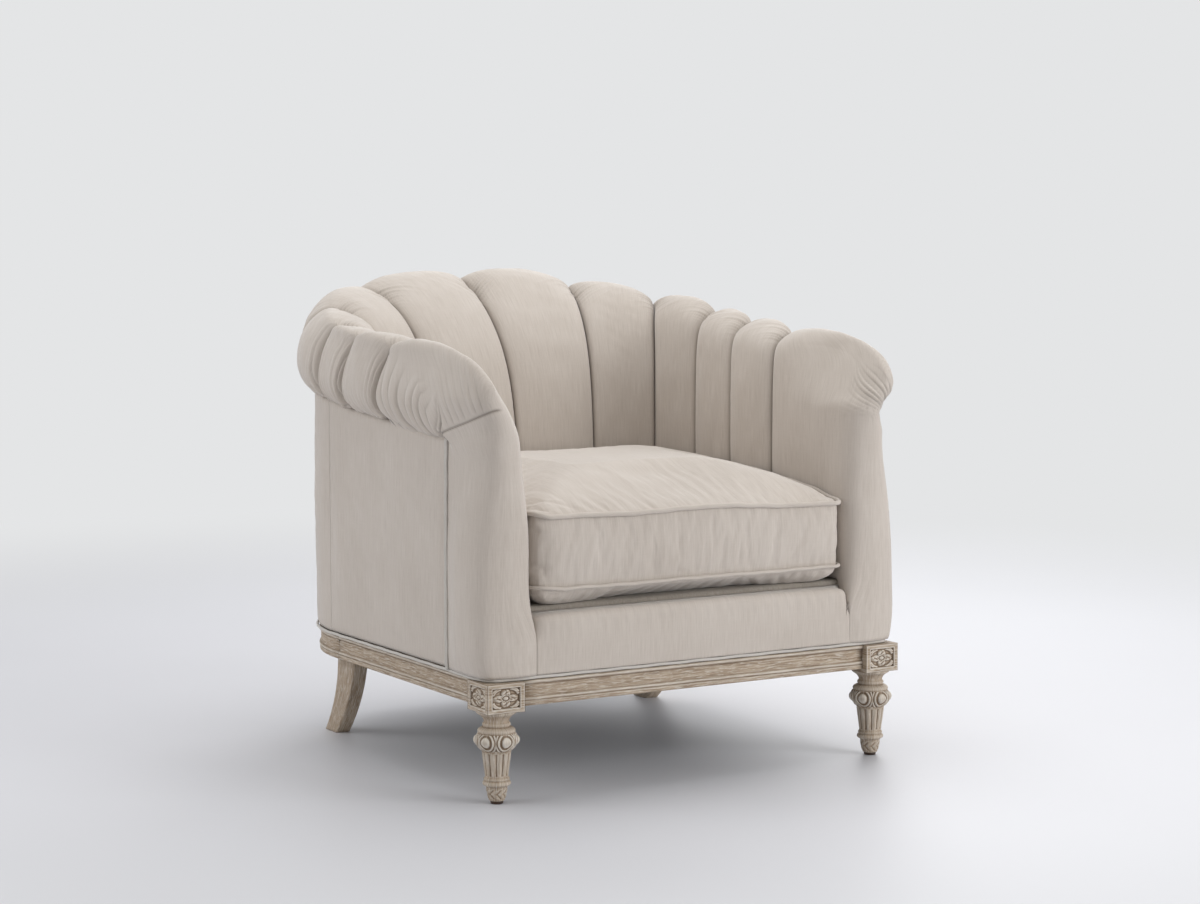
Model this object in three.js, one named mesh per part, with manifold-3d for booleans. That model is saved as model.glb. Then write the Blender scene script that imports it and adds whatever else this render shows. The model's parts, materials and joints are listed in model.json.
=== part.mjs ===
// A barrel armchair with a channelled back: a limed oak base on turned front legs and swept
// rear legs, a hidden wooden frame, twelve stuffed channels that roll over the top, outside
// panels and a loose seat cushion with piping.
// Lengths are in millimetres. x runs across the chair, y from its front to its back and z up
// from the floor. Left and right are as seen by someone who stands in front of the chair.

import * as THREE from 'three';
import { mergeVertices } from 'three/addons/utils/BufferGeometryUtils.js';
import Module from 'manifold-3d';

const wasm = await Module();
wasm.setup();

const { lerp, smoothstep } = THREE.MathUtils;
const quarterTurn = Math.PI / 2;

// Fits and cuts
const gap = 0.3;
const softGap = 2;
const cushionClearance = 3;
const overrun = 5;

// Show wood of the base
const baseHalfWidth = 420;
const baseBack = 930;
const baseCornerRadius = 300;
const railBottom = 167;
const railTop = 211;
const railWidth = 60;
const railBeadHeight = 8;
const railFieldDepth = 3;
const railEdge = 2;
const railLead = 20;
const blockSide = 72.4;
const blockReach = 10;
const blockBottom = 160;
const blockMargin = 9;
const blockRecess = 4;
const blockBossDepth = 3;
const braceLeg = 80;
const braceCut = 12;
const braceHeight = 38;
const braceInset = 1;
const dustCoverThickness = 1.5;

// Front legs, as radii where the turning is widest or narrowest
const legCoveRadius = 30;
const legNeckRadius = 21.6;
const legBulbRadius = 36;
const legShoulderRadius = 27;
const legTaperRadius = 20;
const legCollarRadius = 23.5;
const legFootRadius = 17;
const legTipRadius = 12;
const legFluteDepth = 2.4;
const legFluteCount = 12;
const glideRadius = 11;
const glideHeight = 5;

// Rear legs, as the place of the middle of their section inside the base, and its size
const rearLegTopInset = 52;
const rearLegTopSetback = 273;
const rearLegTopWidth = 33;
const rearLegTopDepth = 75;
const rearLegFootInset = 67;
const rearLegFootSetback = 168;
const rearLegFootWidth = 30;
const rearLegFootDepth = 53;
const rearLegEdge = 3;

// Hidden frame
const frontFace = 12;
const frontPadDepth = 38;
const frameInset = 40;
const frameOutset = 7;
const postDepth = 66;
const seatRailTop = 300;
const seatRailWidth = 25;
const crossRailInset = 35;
const topBoardBottom = 600;
const topBoardTop = 640;
const topBoardBackInset = 44;
const rearPostInset = 36;
const rearPostSize = 48;
const middlePostWidth = 70;
const middlePostDepth = 40;
const liningThickness = 1;
const liningLap = 30;
const springWire = 4;
const springHalfWidth = 30;
const springPitch = 46;
const springSpacing = 104;
const springCount = 5;
const deckThickness = 25;

// Upholstered outside
const panelReach = 5;
const panelThickness = 7;
const panelTuck = 6;
const frontReturn = 138;
const frontEdgeRadius = 22;
const apronDrop = 8;
const apronEdge = 12;
const weltRadius = 3;
const seamWeltRadius = 2.2;

// Stuffed channels. Seams are counted from the front end of the left arm to that of the right.
const armThickness = 82;
const backThickness = 260;
const innerHalfWidth = baseHalfWidth - armThickness;
const innerBack = baseBack - backThickness;
const cornerRadiusDrop = 160;
const innerCornerRadius = baseCornerRadius - cornerRadiusDrop;
const rollReach = 20;
const armCrest = 757;
const backCrest = 866;
const frontTuckDrop = 26;
const padDepth = 14;
const bolsterSwell = 150;
const widestSwell = 200;
const noseRadius = 72;
const noseEdge = 12;
const seamCount = 12;

// Seat cushion
const cushionFront = 20;
const cushionBackClearance = 36;
const cushionBack = innerBack - cushionBackClearance;
const cushionCornerEase = 35;
const cushionFrontRadius = 30;
const cushionFootRise = 29;
const cushionBoxing = 122;
const cushionCrownRise = 70;
const cushionDrawIn = 5;
const cushionRimInset = 22;
const cushionFootInset = 60;
const pipingRadius = 4.5;
const pipingReach = 2.5;

// Places of the seams, as shares of half a U from its front end to the middle of the back,
// and how far the crest has risen there
const innerSeamShares = [0, 0.288, 0.439, 0.573, 0.675, 0.812, 1];
const outerSeamShares = [0, 0.31, 0.427, 0.515, 0.65, 0.801, 1];
const crestRiseShares = [0, 0.05, 0.17, 0.34, 0.58, 0.87, 1];

// A channel's run from the deck up the wall, over the roll and down to the tuck line. Each
// pair is a share of the way from the inner to the outer U, and of the height of the crest.
const armRunShares = [
  [0, 0], [0, 0.36], [0.01, 0.55], [0.03, 0.7], [0.08, 0.82], [0.17, 0.915], [0.31, 0.975],
  [0.5, 1], [0.72, 0.985], [0.91, 0.915], [1, 0.82], [0.985, 0.76], [0.905, 0.725],
];
const backRunShares = [
  [-0.05, 0], [-0.01, 0.353], [0.045, 0.546], [0.115, 0.664], [0.22, 0.767], [0.36, 0.852],
  [0.54, 0.926], [0.7, 0.972], [0.84, 0.998], [0.95, 0.975], [1, 0.905], [0.995, 0.835],
  [0.955, 0.79],
];

// Along that run: how full a channel is, as shares of its width, how far an arm's front end
// leans out, as shares of the way to the outer U, and how round it is, as shares of its radius
const fullnessShares = [0.067, 0.067, 0.09, 0.11, 0.12, 0.13, 0.14, 0.14, 0.13, 0.12, 0.1, 0.07, 0.04];
const frontLeanShares = [0, 0.02, 0.12, 0.18, 0.2, 0.17, 0.1, 0.03, 0, -0.04, -0.05, -0.04, -0.02];
const noseShares = [0.43, 0.55, 0.66, 0.62, 0.55, 0.47, 0.43, 0.42, 0.42, 0.4, 0.38, 0.36, 0.33];
const swellPowerShares = [2.5, 0.7];
const noseSwellPowerShares = [4, 0.7];

// Heights of the turning's edges up a front leg, and of a rear leg's sweep
const fluteLowShare = 0.28;
const fluteHighShare = 0.84;
const legHeightShares = [
  0.16, 0.2, 0.22, 0.25, fluteLowShare, 0.52, 0.68, 0.74, fluteHighShare, 0.86, 0.91, 0.93, 0.96,
];
const rearLegSweepShare = 0.65;
const springBendShares = [0.3, 0.7];
const springTieShares = [0.3, 0.7];

// Rings of the cushion: places from its lower to its upper edge with the share of the draw-in,
// and shares of its size that the rings of its crown keep
const cushionSideShares = [[0, 0.3], [0.2, 0.8], [0.5, 1], [0.8, 0.8], [1, 0.3]];
const cushionCrownShares = [0.9, 0.74, 0.5, 0.24];
const cushionCrownPowerShare = 3.4;
const cushionRimShare = 0.97;
const cushionUndersideShare = 0.3;

const fabric = { color: 0xc3bbb2, roughness: 0.92, metalness: 0 };
const weltFabric = { color: 0xb9b6b1, roughness: 0.9, metalness: 0 };
const limedOak = { color: 0xb8a58c, roughness: 0.7, metalness: 0 };
const frameWood = { color: 0xc9a878, roughness: 0.8, metalness: 0 };
const foam = { color: 0xe8dfc4, roughness: 1, metalness: 0 };
const steel = { color: 0x8c8f92, roughness: 0.4, metalness: 1 };
const lining = { color: 0x8f7a58, roughness: 0.95, metalness: 0 };
const deckCloth = { color: 0x8a857d, roughness: 0.95, metalness: 0 };
const blackCloth = { color: 0x1c1c1c, roughness: 0.95, metalness: 0 };
const darkPlastic = { color: 0x3a2a20, roughness: 0.5, metalness: 0 };

const chair = new THREE.Group();
const sides = [['left', -1], ['right', 1]];

function place(name, geometry, look, x = 0, y = 0) {
  const mesh = new THREE.Mesh(geometry, new THREE.MeshStandardMaterial(look));
  mesh.name = name;
  mesh.position.set(x, y, 0);
  chair.add(mesh);
}

function placePair(name, left, look) {
  place(`${name}_left`, left, look);
  place(`${name}_right`, mirrorCopy(left), look);
}

const cornerSteps = 5;

// Closed meshes for joining and cutting, and back again
function bareCopy(geometry) {
  const bare = geometry.clone();
  bare.deleteAttribute('normal');
  bare.deleteAttribute('uv');
  return mergeVertices(bare);
}

function toSolid(geometry) {
  const bare = bareCopy(geometry);
  return new wasm.Manifold(new wasm.Mesh({
    numProp: 3,
    vertProperties: new Float32Array(bare.attributes.position.array),
    triVerts: new Uint32Array(bare.index.array),
  }));
}

function fromSolid(solid) {
  const mesh = solid.getMesh();
  const geometry = new THREE.BufferGeometry();
  geometry.setAttribute('position', new THREE.BufferAttribute(mesh.vertProperties, 3));
  geometry.setIndex(new THREE.BufferAttribute(mesh.triVerts, 1));
  geometry.computeVertexNormals();
  return geometry;
}

function mirrorCopy(geometry) {
  const twin = bareCopy(geometry).scale(-1, 1, 1);
  twin.index.array.reverse();
  twin.computeVertexNormals();
  return twin;
}

function signedVolume(points, faces) {
  let volume = 0;
  for (let at = 0; at < faces.length; at += 3) {
    const [a, b, c] = faces.slice(at, at + 3).map((face) => points[face]);
    volume += a.dot(b.clone().cross(c));
  }
  return volume;
}

// A closed body through rings of points, capped from the middle of its first and last ring.
// The strip that closes the rings is split the other way, so that neighbours' walls match.
function loft(rings) {
  const count = rings[0].length;
  const points = rings.flat();
  const faces = [];
  for (let ring = 0; ring + 1 < rings.length; ring += 1) {
    for (let step = 0; step < count; step += 1) {
      const a = ring * count + step;
      const b = ring * count + (step + 1) % count;
      if (step + 1 < count) faces.push(a, b, b + count, a, b + count, a + count);
      else faces.push(a, b, a + count, b, b + count, a + count);
    }
  }
  for (const ring of [0, rings.length - 1]) {
    const middle = rings[ring].reduce((sum, point) => sum.add(point), new THREE.Vector3());
    points.push(middle.divideScalar(count));
    for (let step = 0; step < count; step += 1) {
      const pair = [ring * count + step, ring * count + (step + 1) % count];
      faces.push(points.length - 1, ...(ring === 0 ? pair.reverse() : pair));
    }
  }
  if (signedVolume(points, faces) < 0) faces.reverse();
  const geometry = new THREE.BufferGeometry();
  const numbers = points.flatMap((point) => point.toArray());
  geometry.setAttribute('position', new THREE.Float32BufferAttribute(numbers, 3));
  geometry.setIndex(faces);
  geometry.computeVertexNormals();
  return geometry;
}

// An upright body over an outline in plan
function upright(outline, bottom, top) {
  const geometry = new THREE.ExtrudeGeometry(new THREE.Shape(outline), {
    depth: top - bottom,
    bevelEnabled: false,
  });
  return geometry.translate(0, 0, bottom);
}

// A body between two places across the chair or along it, over an outline seen from there
function across(outline, left, right) {
  const body = upright(outline.map(([y, z]) => new THREE.Vector2(y, z)), left, right);
  return body.rotateX(quarterTurn).rotateZ(quarterTurn);
}

function box(low, high) {
  const size = high.map((value, axis) => Math.abs(value - low[axis]));
  const middle = high.map((value, axis) => (value + low[axis]) / 2);
  return new THREE.BoxGeometry(...size).translate(...middle);
}

// A path that visits its points in equal steps, so that a run along it meets every one
class PointPath extends THREE.Curve {
  constructor(points) {
    super();
    this.points = points;
  }

  getPoint(share) {
    const at = share * (this.points.length - 1);
    const start = Math.min(Math.floor(at), this.points.length - 2);
    return this.points[start].clone().lerp(this.points[start + 1], at - start);
  }

  getPointAt(share) {
    return this.getPoint(share);
  }

  getTangentAt(share) {
    const last = this.points.length - 1;
    const near = Math.round(share * last);
    const ahead = this.points[Math.min(near + 1, last)].clone().sub(this.points[near]);
    const behind = this.points[near].clone().sub(this.points[Math.max(near - 1, 0)]);
    return ahead.normalize().add(behind.normalize()).normalize();
  }
}

// A section run along level points. Its x is measured down, its y to the left of the way.
function runAlong(points, section) {
  return new THREE.ExtrudeGeometry(section, {
    steps: points.length - 1,
    bevelEnabled: false,
    extrudePath: new PointPath(points),
  });
}

const weltSides = 8;
function roundSection(radius) {
  const spots = [];
  for (let spot = 0; spot < weltSides; spot += 1) {
    const angle = (2 * spot + 1) / weltSides * Math.PI;
    spots.push(new THREE.Vector2(radius * Math.cos(angle), radius * Math.sin(angle)));
  }
  return new THREE.Shape(spots);
}

const mirrored = (points) => points.map((point) => new THREE.Vector2(-point.x, point.y)).reverse();
const atHeight = (point, z) => new THREE.Vector3(point.x, point.y, z);

// A U in plan, with its ends to the front and round rear corners. A share runs from its left
// front end, 0, over the middle of the back, 1, to its right front end, 2.
const innerPlan = { halfWidth: innerHalfWidth, back: innerBack, radius: innerCornerRadius };
const basePlan = { halfWidth: baseHalfWidth, back: baseBack, radius: baseCornerRadius };

function planPoint(plan, share, grow = 0) {
  if (share > 1) {
    const twin = planPoint(plan, 2 - share, grow);
    return new THREE.Vector2(-twin.x, twin.y);
  }
  const middle = new THREE.Vector2(plan.radius - plan.halfWidth, plan.back - plan.radius);
  const side = middle.y - frontFace;
  const bend = plan.radius * quarterTurn;
  const way = share * (side + bend - middle.x);
  const radius = plan.radius + grow;
  if (way < side) return new THREE.Vector2(middle.x - radius, frontFace + way);
  if (way > side + bend) return new THREE.Vector2(middle.x + way - side - bend, middle.y + radius);
  const angle = (way - side) / plan.radius;
  return middle.add(new THREE.Vector2(-radius * Math.cos(angle), radius * Math.sin(angle)));
}

function planLength(plan) {
  return plan.back - frontFace + plan.halfWidth - 2 * plan.radius + plan.radius * quarterTurn;
}

// The round rear part of a U, with the same steps whatever its size
const bendSteps = 12;
function rearBend(plan, grow) {
  const points = [];
  const radius = plan.radius + grow;
  for (let step = 0; step <= bendSteps; step += 1) {
    const angle = step / bendSteps * quarterTurn;
    const x = plan.radius - plan.halfWidth - radius * Math.cos(angle);
    points.push(new THREE.Vector2(x, plan.back - plan.radius + radius * Math.sin(angle)));
  }
  return [...points, ...mirrored(points)];
}

// Base rails with a bead along their upper and lower edge
const blockInnerX = baseHalfWidth + blockReach - blockSide;
const railSideEnd = baseBack - baseCornerRadius - railLead;

function railSection() {
  const low = railTop - railBottom;
  const bevel = railBeadHeight + railFieldDepth;
  const spots = [
    [0, -railWidth], [0, -railFieldDepth], [railEdge, 0], [railBeadHeight, 0],
    [bevel, -railFieldDepth], [low - bevel, -railFieldDepth], [low - railBeadHeight, 0],
    [low - railEdge, 0], [low, -railEdge], [low, -railWidth],
  ];
  return new THREE.Shape(spots.map(([down, out]) => new THREE.Vector2(down, out)));
}

function addRails() {
  const halfFront = blockInnerX - gap;
  const front = [[halfFront, blockReach], [-halfFront, blockReach]];
  const left = [[-baseHalfWidth, blockSide + gap], [-baseHalfWidth, railSideEnd - gap]];
  const right = [[baseHalfWidth, railSideEnd - gap], [baseHalfWidth, blockSide + gap]];
  for (const [name, ends] of [['front', front], ['left', left], ['right', right]]) {
    const points = ends.map(([x, y]) => new THREE.Vector3(x, y, railTop));
    place(`${name}_rail`, runAlong(points, railSection()), limedOak);
  }
  const bend = rearBend(basePlan, 0);
  const [start, end] = [-baseHalfWidth, baseHalfWidth].map((x) => new THREE.Vector2(x, railSideEnd));
  const back = [start, ...bend, end].map((point) => atHeight(point, railTop));
  place('back_rail', runAlong(back, railSection()), limedOak);
}

// A front leg: a turning with a fluted taper under a block with a sunk panel on each side
function turning() {
  const top = blockBottom + overrun;
  const radii = [
    legFootRadius, legTaperRadius, legCollarRadius, legCollarRadius, legTaperRadius,
    legShoulderRadius, legBulbRadius, legBulbRadius, legShoulderRadius, legNeckRadius,
    legNeckRadius, legShoulderRadius, legCoveRadius,
  ];
  const profile = radii.map((radius, at) => new THREE.Vector2(radius, legHeightShares[at] * blockBottom));
  const foot = glideHeight + gap;
  profile.unshift(new THREE.Vector2(0, foot), new THREE.Vector2(legTipRadius, foot));
  profile.push(new THREE.Vector2(legCoveRadius, top), new THREE.Vector2(0, top));
  const leg = bareCopy(new THREE.LatheGeometry(profile, 2 * legFluteCount).rotateX(quarterTurn));
  return fluted(leg, fluteLowShare * blockBottom, fluteHighShare * blockBottom);
}

// Every other edge of the turning is drawn in between two heights, which leaves flutes
function fluted(geometry, low, high) {
  const spots = geometry.attributes.position;
  for (let at = 0; at < spots.count; at += 1) {
    const spot = new THREE.Vector3().fromBufferAttribute(spots, at);
    const turn = Math.round(Math.atan2(spot.y, spot.x) / Math.PI * legFluteCount);
    const radius = Math.hypot(spot.x, spot.y);
    if (turn % 2 !== 0 && spot.z > low && spot.z < high) {
      const drawn = (radius - legFluteDepth) / radius;
      spots.setXYZ(at, spot.x * drawn, spot.y * drawn, spot.z);
    }
  }
  return geometry;
}

function cornerBlock() {
  const half = blockSide / 2;
  const panelHigh = railTop - blockMargin;
  const panelLow = blockBottom + blockMargin;
  const panelHalf = half - blockMargin;
  const panel = box([-panelHalf, -half - overrun, panelLow], [panelHalf, blockRecess - half, panelHigh]);
  const bossRadius = (panelHigh - panelLow) / 2 - gap;
  const boss = new THREE.CylinderGeometry(bossRadius, bossRadius / 2, blockBossDepth + gap, legFluteCount);
  boss.translate(0, -half + blockRecess - blockBossDepth / 2, (panelHigh + panelLow) / 2);
  let block = toSolid(box([-half, -half, blockBottom], [half, half, railTop]));
  for (const turn of [0, -quarterTurn]) {
    block = block.subtract(toSolid(panel.clone().rotateZ(turn)));
    block = block.add(toSolid(boss.clone().rotateZ(turn)));
  }
  return block;
}

function addFrontLegs() {
  const centreX = baseHalfWidth + blockReach - blockSide / 2;
  const centreY = blockSide / 2;
  const leg = fromSolid(cornerBlock().add(toSolid(turning())));
  for (const [name, side] of sides) {
    place(`front_leg_${name}`, side < 0 ? leg : mirrorCopy(leg), limedOak, side * centreX, centreY);
    const glide = new THREE.CylinderGeometry(glideRadius, glideRadius, glideHeight, 2 * legFluteCount);
    glide.rotateX(quarterTurn).translate(0, 0, glideHeight / 2);
    place(`front_glide_${name}`, glide, darkPlastic, side * centreX, centreY);
  }
}

// A rear leg of oblong section with eased edges that sweeps back to its foot
function easedRing(x, y, z, halfX, halfY) {
  const ring = [];
  for (const [sideX, sideY] of [[1, 1], [-1, 1], [-1, -1], [1, -1]]) {
    const first = new THREE.Vector3(x + sideX * halfX, y + sideY * (halfY - rearLegEdge), z);
    const second = new THREE.Vector3(x + sideX * (halfX - rearLegEdge), y + sideY * halfY, z);
    ring.push(...(sideX * sideY > 0 ? [first, second] : [second, first]));
  }
  return ring;
}

const rearLegSteps = 6;
function rearLeg(side) {
  const rings = [];
  for (let step = 0; step <= rearLegSteps; step += 1) {
    const down = step / rearLegSteps;
    const swept = lerp(down, down * down, rearLegSweepShare);
    const x = side * (baseHalfWidth - lerp(rearLegTopInset, rearLegFootInset, down));
    const y = baseBack - lerp(rearLegTopSetback, rearLegFootSetback, swept);
    const halfX = lerp(rearLegTopWidth, rearLegFootWidth, down) / 2;
    const halfY = lerp(rearLegTopDepth, rearLegFootDepth, down) / 2;
    rings.push(easedRing(x, y, lerp(railBottom - gap, 0, down), halfX, halfY));
  }
  return loft(rings);
}

// Corner braces between the rails, and the cloth that closes the underside
function addBraces() {
  const bottom = railTop - braceHeight;
  const innerX = baseHalfWidth - railWidth - gap;
  const innerY = blockReach + railWidth + gap;
  const front = [
    [innerX, blockSide + braceCut], [innerX, blockSide + braceLeg],
    [innerX - braceLeg, innerY], [blockInnerX - braceCut, innerY],
  ].map(([x, y]) => new THREE.Vector2(x, y));
  const bend = rearBend(basePlan, -railWidth - braceInset).slice(bendSteps + 1);
  const rear = bend.slice(bendSteps / 4, bendSteps + 1);
  for (const [name, side] of sides) {
    for (const [end, outline] of [['front', front], ['rear', rear]]) {
      const brace = upright(side < 0 ? mirrored(outline) : outline, bottom, railTop - gap);
      place(`${end}_brace_${name}`, brace, frameWood);
    }
  }
}

function addDustCover() {
  const outline = rearBend(basePlan, -railWidth - braceInset);
  const halfWidth = baseHalfWidth - railWidth - braceInset;
  const frontY = blockSide + gap;
  outline.push(new THREE.Vector2(halfWidth, frontY), new THREE.Vector2(-halfWidth, frontY));
  const bottom = railBottom + gap;
  place('dust_cover', upright(outline, bottom, bottom + dustCoverThickness), blackCloth);
}

// Hidden frame: posts, seat rails and the boards under the roll
const frameX = innerHalfWidth + frameInset;
const frameBack = innerBack + topBoardBackInset;
const boardOuterX = baseHalfWidth - frameOutset;
const postFront = frontFace + frontPadDepth + softGap;
const postBack = postFront + postDepth;
const footHeight = railTop + gap;
const postTop = topBoardBottom - gap;

function addPosts() {
  const reach = (baseCornerRadius - frameOutset - rearPostInset) * Math.SQRT1_2;
  const rearX = baseHalfWidth - baseCornerRadius + reach;
  const rearY = baseBack - baseCornerRadius + reach;
  const halfPost = rearPostSize / 2;
  for (const [name, side] of sides) {
    const front = box([side * frameX, postFront, footHeight], [side * boardOuterX, postBack, postTop]);
    place(`arm_post_${name}`, front, frameWood);
    const low = [side * rearX - halfPost, rearY - halfPost, footHeight];
    const high = [side * rearX + halfPost, rearY + halfPost, postTop];
    place(`rear_post_${name}`, box(low, high), frameWood);
  }
  const half = middlePostWidth / 2;
  const back = baseBack - frameOutset - gap;
  const middle = box([-half, back - middlePostDepth, footHeight], [half, back, postTop]);
  place('middle_post', middle, frameWood);
}

function addSeatRails() {
  const halfFront = frameX - gap;
  const frontEnd = postFront + seatRailWidth;
  const front = box([-halfFront, postFront, footHeight], [halfFront, frontEnd, seatRailTop]);
  place('seat_rail_front', front, frameWood);
  for (const [name, side] of sides) {
    const low = [side * frameX, postBack + gap, footHeight];
    const high = [side * (frameX + seatRailWidth), railSideEnd - railWidth, seatRailTop];
    place(`seat_rail_${name}`, box(low, high), frameWood);
  }
  const half = baseHalfWidth - crossRailInset;
  const low = [-half, frameBack, footHeight];
  const high = [half, frameBack + seatRailWidth, seatRailTop];
  place('seat_rail_back', box(low, high), frameWood);
}

function addTopBoards() {
  const inside = rearBend({ halfWidth: frameX, back: frameBack, radius: innerCornerRadius }, 0);
  const outside = rearBend(basePlan, -frameOutset);
  const split = inside[0].y;
  for (const [name, side] of sides) {
    const low = [side * frameX, postFront, topBoardBottom];
    const high = [side * boardOuterX, split - gap, topBoardTop];
    place(`arm_board_${name}`, box(low, high), frameWood);
  }
  const ends = [new THREE.Vector2(-boardOuterX, split), new THREE.Vector2(boardOuterX, split)];
  const outline = [ends[0], ...outside, ends[1], ...inside.slice(1, -1).reverse()];
  place('back_board', upright(outline, topBoardBottom, topBoardTop), frameWood);
}

// Cloth stretched on the inside of the frame, from the seat rails to the boards
function addLinings() {
  const low = seatRailTop - liningLap;
  const high = topBoardBottom + liningLap;
  for (const [name, side] of sides) {
    const outer = side * (frameX - gap);
    const inner = outer - side * liningThickness;
    const front = postFront + seatRailWidth + gap;
    const cloth = box([inner, front, low], [outer, frameBack - innerCornerRadius, high]);
    place(`arm_lining_${name}`, cloth, lining);
  }
  const half = innerHalfWidth - innerCornerRadius;
  const back = frameBack - gap;
  const foot = springTop + gap;
  place('back_lining', box([-half, back - liningThickness, foot], [half, back, high]), lining);
}

// Sinuous springs from the front to the back seat rail, tied across by two wires
function springSpine(length) {
  const bends = 2 * Math.round(length / springPitch / 2);
  const spine = [new THREE.Vector2(0, 0)];
  for (let bend = 0; bend < bends; bend += 1) {
    const reach = (bend % 2 === 0 ? 1 : -1) * springHalfWidth;
    for (const share of springBendShares) {
      spine.push(new THREE.Vector2(reach, (bend + share) / bends * length));
    }
  }
  spine.push(new THREE.Vector2(0, length));
  return spine;
}

// The outline of a ribbon of even width along a bent line
function ribbon(spine, half) {
  const left = [];
  const right = [];
  spine.forEach((point, at) => {
    const ahead = (spine[at + 1] ?? point).clone().sub(point).normalize();
    const behind = point.clone().sub(spine[at - 1] ?? point).normalize();
    const way = ahead.clone().add(behind).normalize();
    const aside = new THREE.Vector2(-way.y, way.x);
    const lean = way.dot(ahead.lengthSq() > 0 ? ahead : behind);
    left.push(point.clone().addScaledVector(aside, half / lean));
    right.push(point.clone().addScaledVector(aside, -half / lean));
  });
  return [...right, ...left.reverse()];
}

const springBottom = seatRailTop + gap;
const springTop = springBottom + springWire;

function addSprings() {
  const start = postFront + seatRailWidth / 2;
  const end = frameBack + seatRailWidth / 2;
  const one = upright(ribbon(springSpine(end - start), springWire / 2), springBottom, springTop);
  const reach = (springCount - 1) / 2 * springSpacing;
  const ties = springTieShares.map((share) => {
    const y = lerp(start, end, share);
    return toSolid(box([-reach, y, springBottom], [reach, y + springWire, springTop]));
  });
  let springs = ties[0].add(ties[1]);
  for (let x = -reach; x <= reach; x += springSpacing) {
    springs = springs.add(toSolid(one.clone().translate(x, start, 0)));
  }
  place('seat_springs', fromSolid(springs), steel);
}

const deckBottom = springTop + gap;
const deckTop = deckBottom + deckThickness;
const wallFoot = deckTop + gap;

function addDeck() {
  const grow = padDepth / 2;
  const outline = rearBend(innerPlan, grow);
  const halfWidth = innerHalfWidth + grow;
  outline.push(new THREE.Vector2(halfWidth, postFront), new THREE.Vector2(-halfWidth, postFront));
  place('seat_deck', upright(outline, deckBottom, deckTop), deckCloth);
}

// Shape of the channels, as heights over a surface that holds their seams
const armRun = new THREE.SplineCurve(armRunShares.map((pair) => new THREE.Vector2(...pair)));
const backRun = new THREE.SplineCurve(backRunShares.map((pair) => new THREE.Vector2(...pair)));
const runSteps = armRunShares.length - 1;

function fromTable(table, spot) {
  const start = Math.min(Math.floor(spot), table.length - 2);
  return lerp(table[start], table[start + 1], spot - start);
}

function seamShare(table, seam) {
  const share = fromTable(table, Math.min(seam, seamCount - seam));
  return seam > seamCount / 2 ? 2 - share : share;
}

function wallPoint(seam, run) {
  const fromFront = Math.min(seam, seamCount - seam);
  const inner = planPoint(innerPlan, seamShare(innerSeamShares, seam));
  const outer = planPoint(basePlan, seamShare(outerSeamShares, seam), rollReach);
  const backness = smoothstep(fromFront, seamCount / 4, seamCount / 2);
  const spot = armRun.getPoint(run).lerp(backRun.getPoint(run), backness);
  const crest = lerp(armCrest, backCrest, fromTable(crestRiseShares, fromFront));
  const atFront = Math.max(1 - fromFront, 0);
  const drop = frontTuckDrop * atFront * smoothstep(run * runSteps, runSteps - 3, runSteps);
  const lean = atFront * fromTable(frontLeanShares, run * runSteps);
  return atHeight(inner.lerp(outer, spot.x + lean), lerp(wallFoot, crest, spot.y) - drop);
}

const nudge = 0.002;
const seamNudge = 0.05;
function wallNormal(seam, run) {
  const up = wallPoint(seam, Math.min(run + nudge, 1)).sub(wallPoint(seam, Math.max(run - nudge, 0)));
  const ahead = wallPoint(Math.min(seam + seamNudge, seamCount), run);
  const way = ahead.sub(wallPoint(Math.max(seam - seamNudge, 0), run));
  const normal = way.cross(up);
  if (run === 0) normal.setZ(0);
  return normal.normalize();
}

function raised(seam, run, height) {
  return wallPoint(seam, run).addScaledVector(wallNormal(seam, run), height);
}

const channelColumns = 6;
function channelRing(number, run) {
  const width = wallPoint(number, run).distanceTo(wallPoint(number + 1, run));
  const swell = fromTable(fullnessShares, run * runSteps) * Math.min(width, widestSwell);
  const [flatness, fullness] = swellPowerShares;
  const edge = gap / width;
  const ring = [];
  for (let column = 0; column <= channelColumns; column += 1) {
    const offset = 2 * column / channelColumns - 1;
    const height = swell * (1 - Math.abs(offset) ** flatness) ** fullness;
    ring.push(raised(number + lerp(edge, 1 - edge, column / channelColumns), run, height));
  }
  for (const away of [1 - edge, 1 / 2, edge]) ring.push(raised(number + away, run, -padDepth));
  return ring;
}

// The front bolster of an arm, whose front end is round in plan
const noseColumns = 3;
function noseAt(run) {
  const swell = fromTable(fullnessShares, run * runSteps) * bolsterSwell;
  return [swell, noseRadius * fromTable(noseShares, run * runSteps)];
}

function bolsterRing(run) {
  const length = wallPoint(0, run).distanceTo(wallPoint(1, run));
  const [swell, nose] = noseAt(run);
  const [flatness, fullness] = noseSwellPowerShares;
  const start = nose / length;
  const end = 1 - gap / length;
  const ring = [];
  for (let column = 0; column <= noseColumns; column += 1) {
    const angle = column / noseColumns * quarterTurn;
    ring.push(raised(start * (1 - Math.cos(angle)), run, swell - nose * (1 - Math.sin(angle))));
  }
  for (let column = 1; column <= channelColumns; column += 1) {
    const away = column / channelColumns;
    ring.push(raised(lerp(start, end, away), run, swell * (1 - away ** flatness) ** fullness));
  }
  for (const away of [1, 1 / 2]) ring.push(raised(lerp(start, end, away), run, -padDepth));
  for (let column = noseColumns; column >= 0; column -= 1) {
    const angle = column / noseColumns * quarterTurn;
    const away = lerp(start, noseEdge / length, Math.cos(angle));
    const sunk = padDepth + (nose - swell - padDepth) * (1 - Math.sin(angle));
    ring.push(raised(away, run, -sunk));
  }
  return ring;
}

function channelBody(ringAt) {
  const rings = [];
  for (let step = 0; step <= runSteps; step += 1) rings.push(ringAt(step / runSteps));
  return loft(rings);
}

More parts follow.
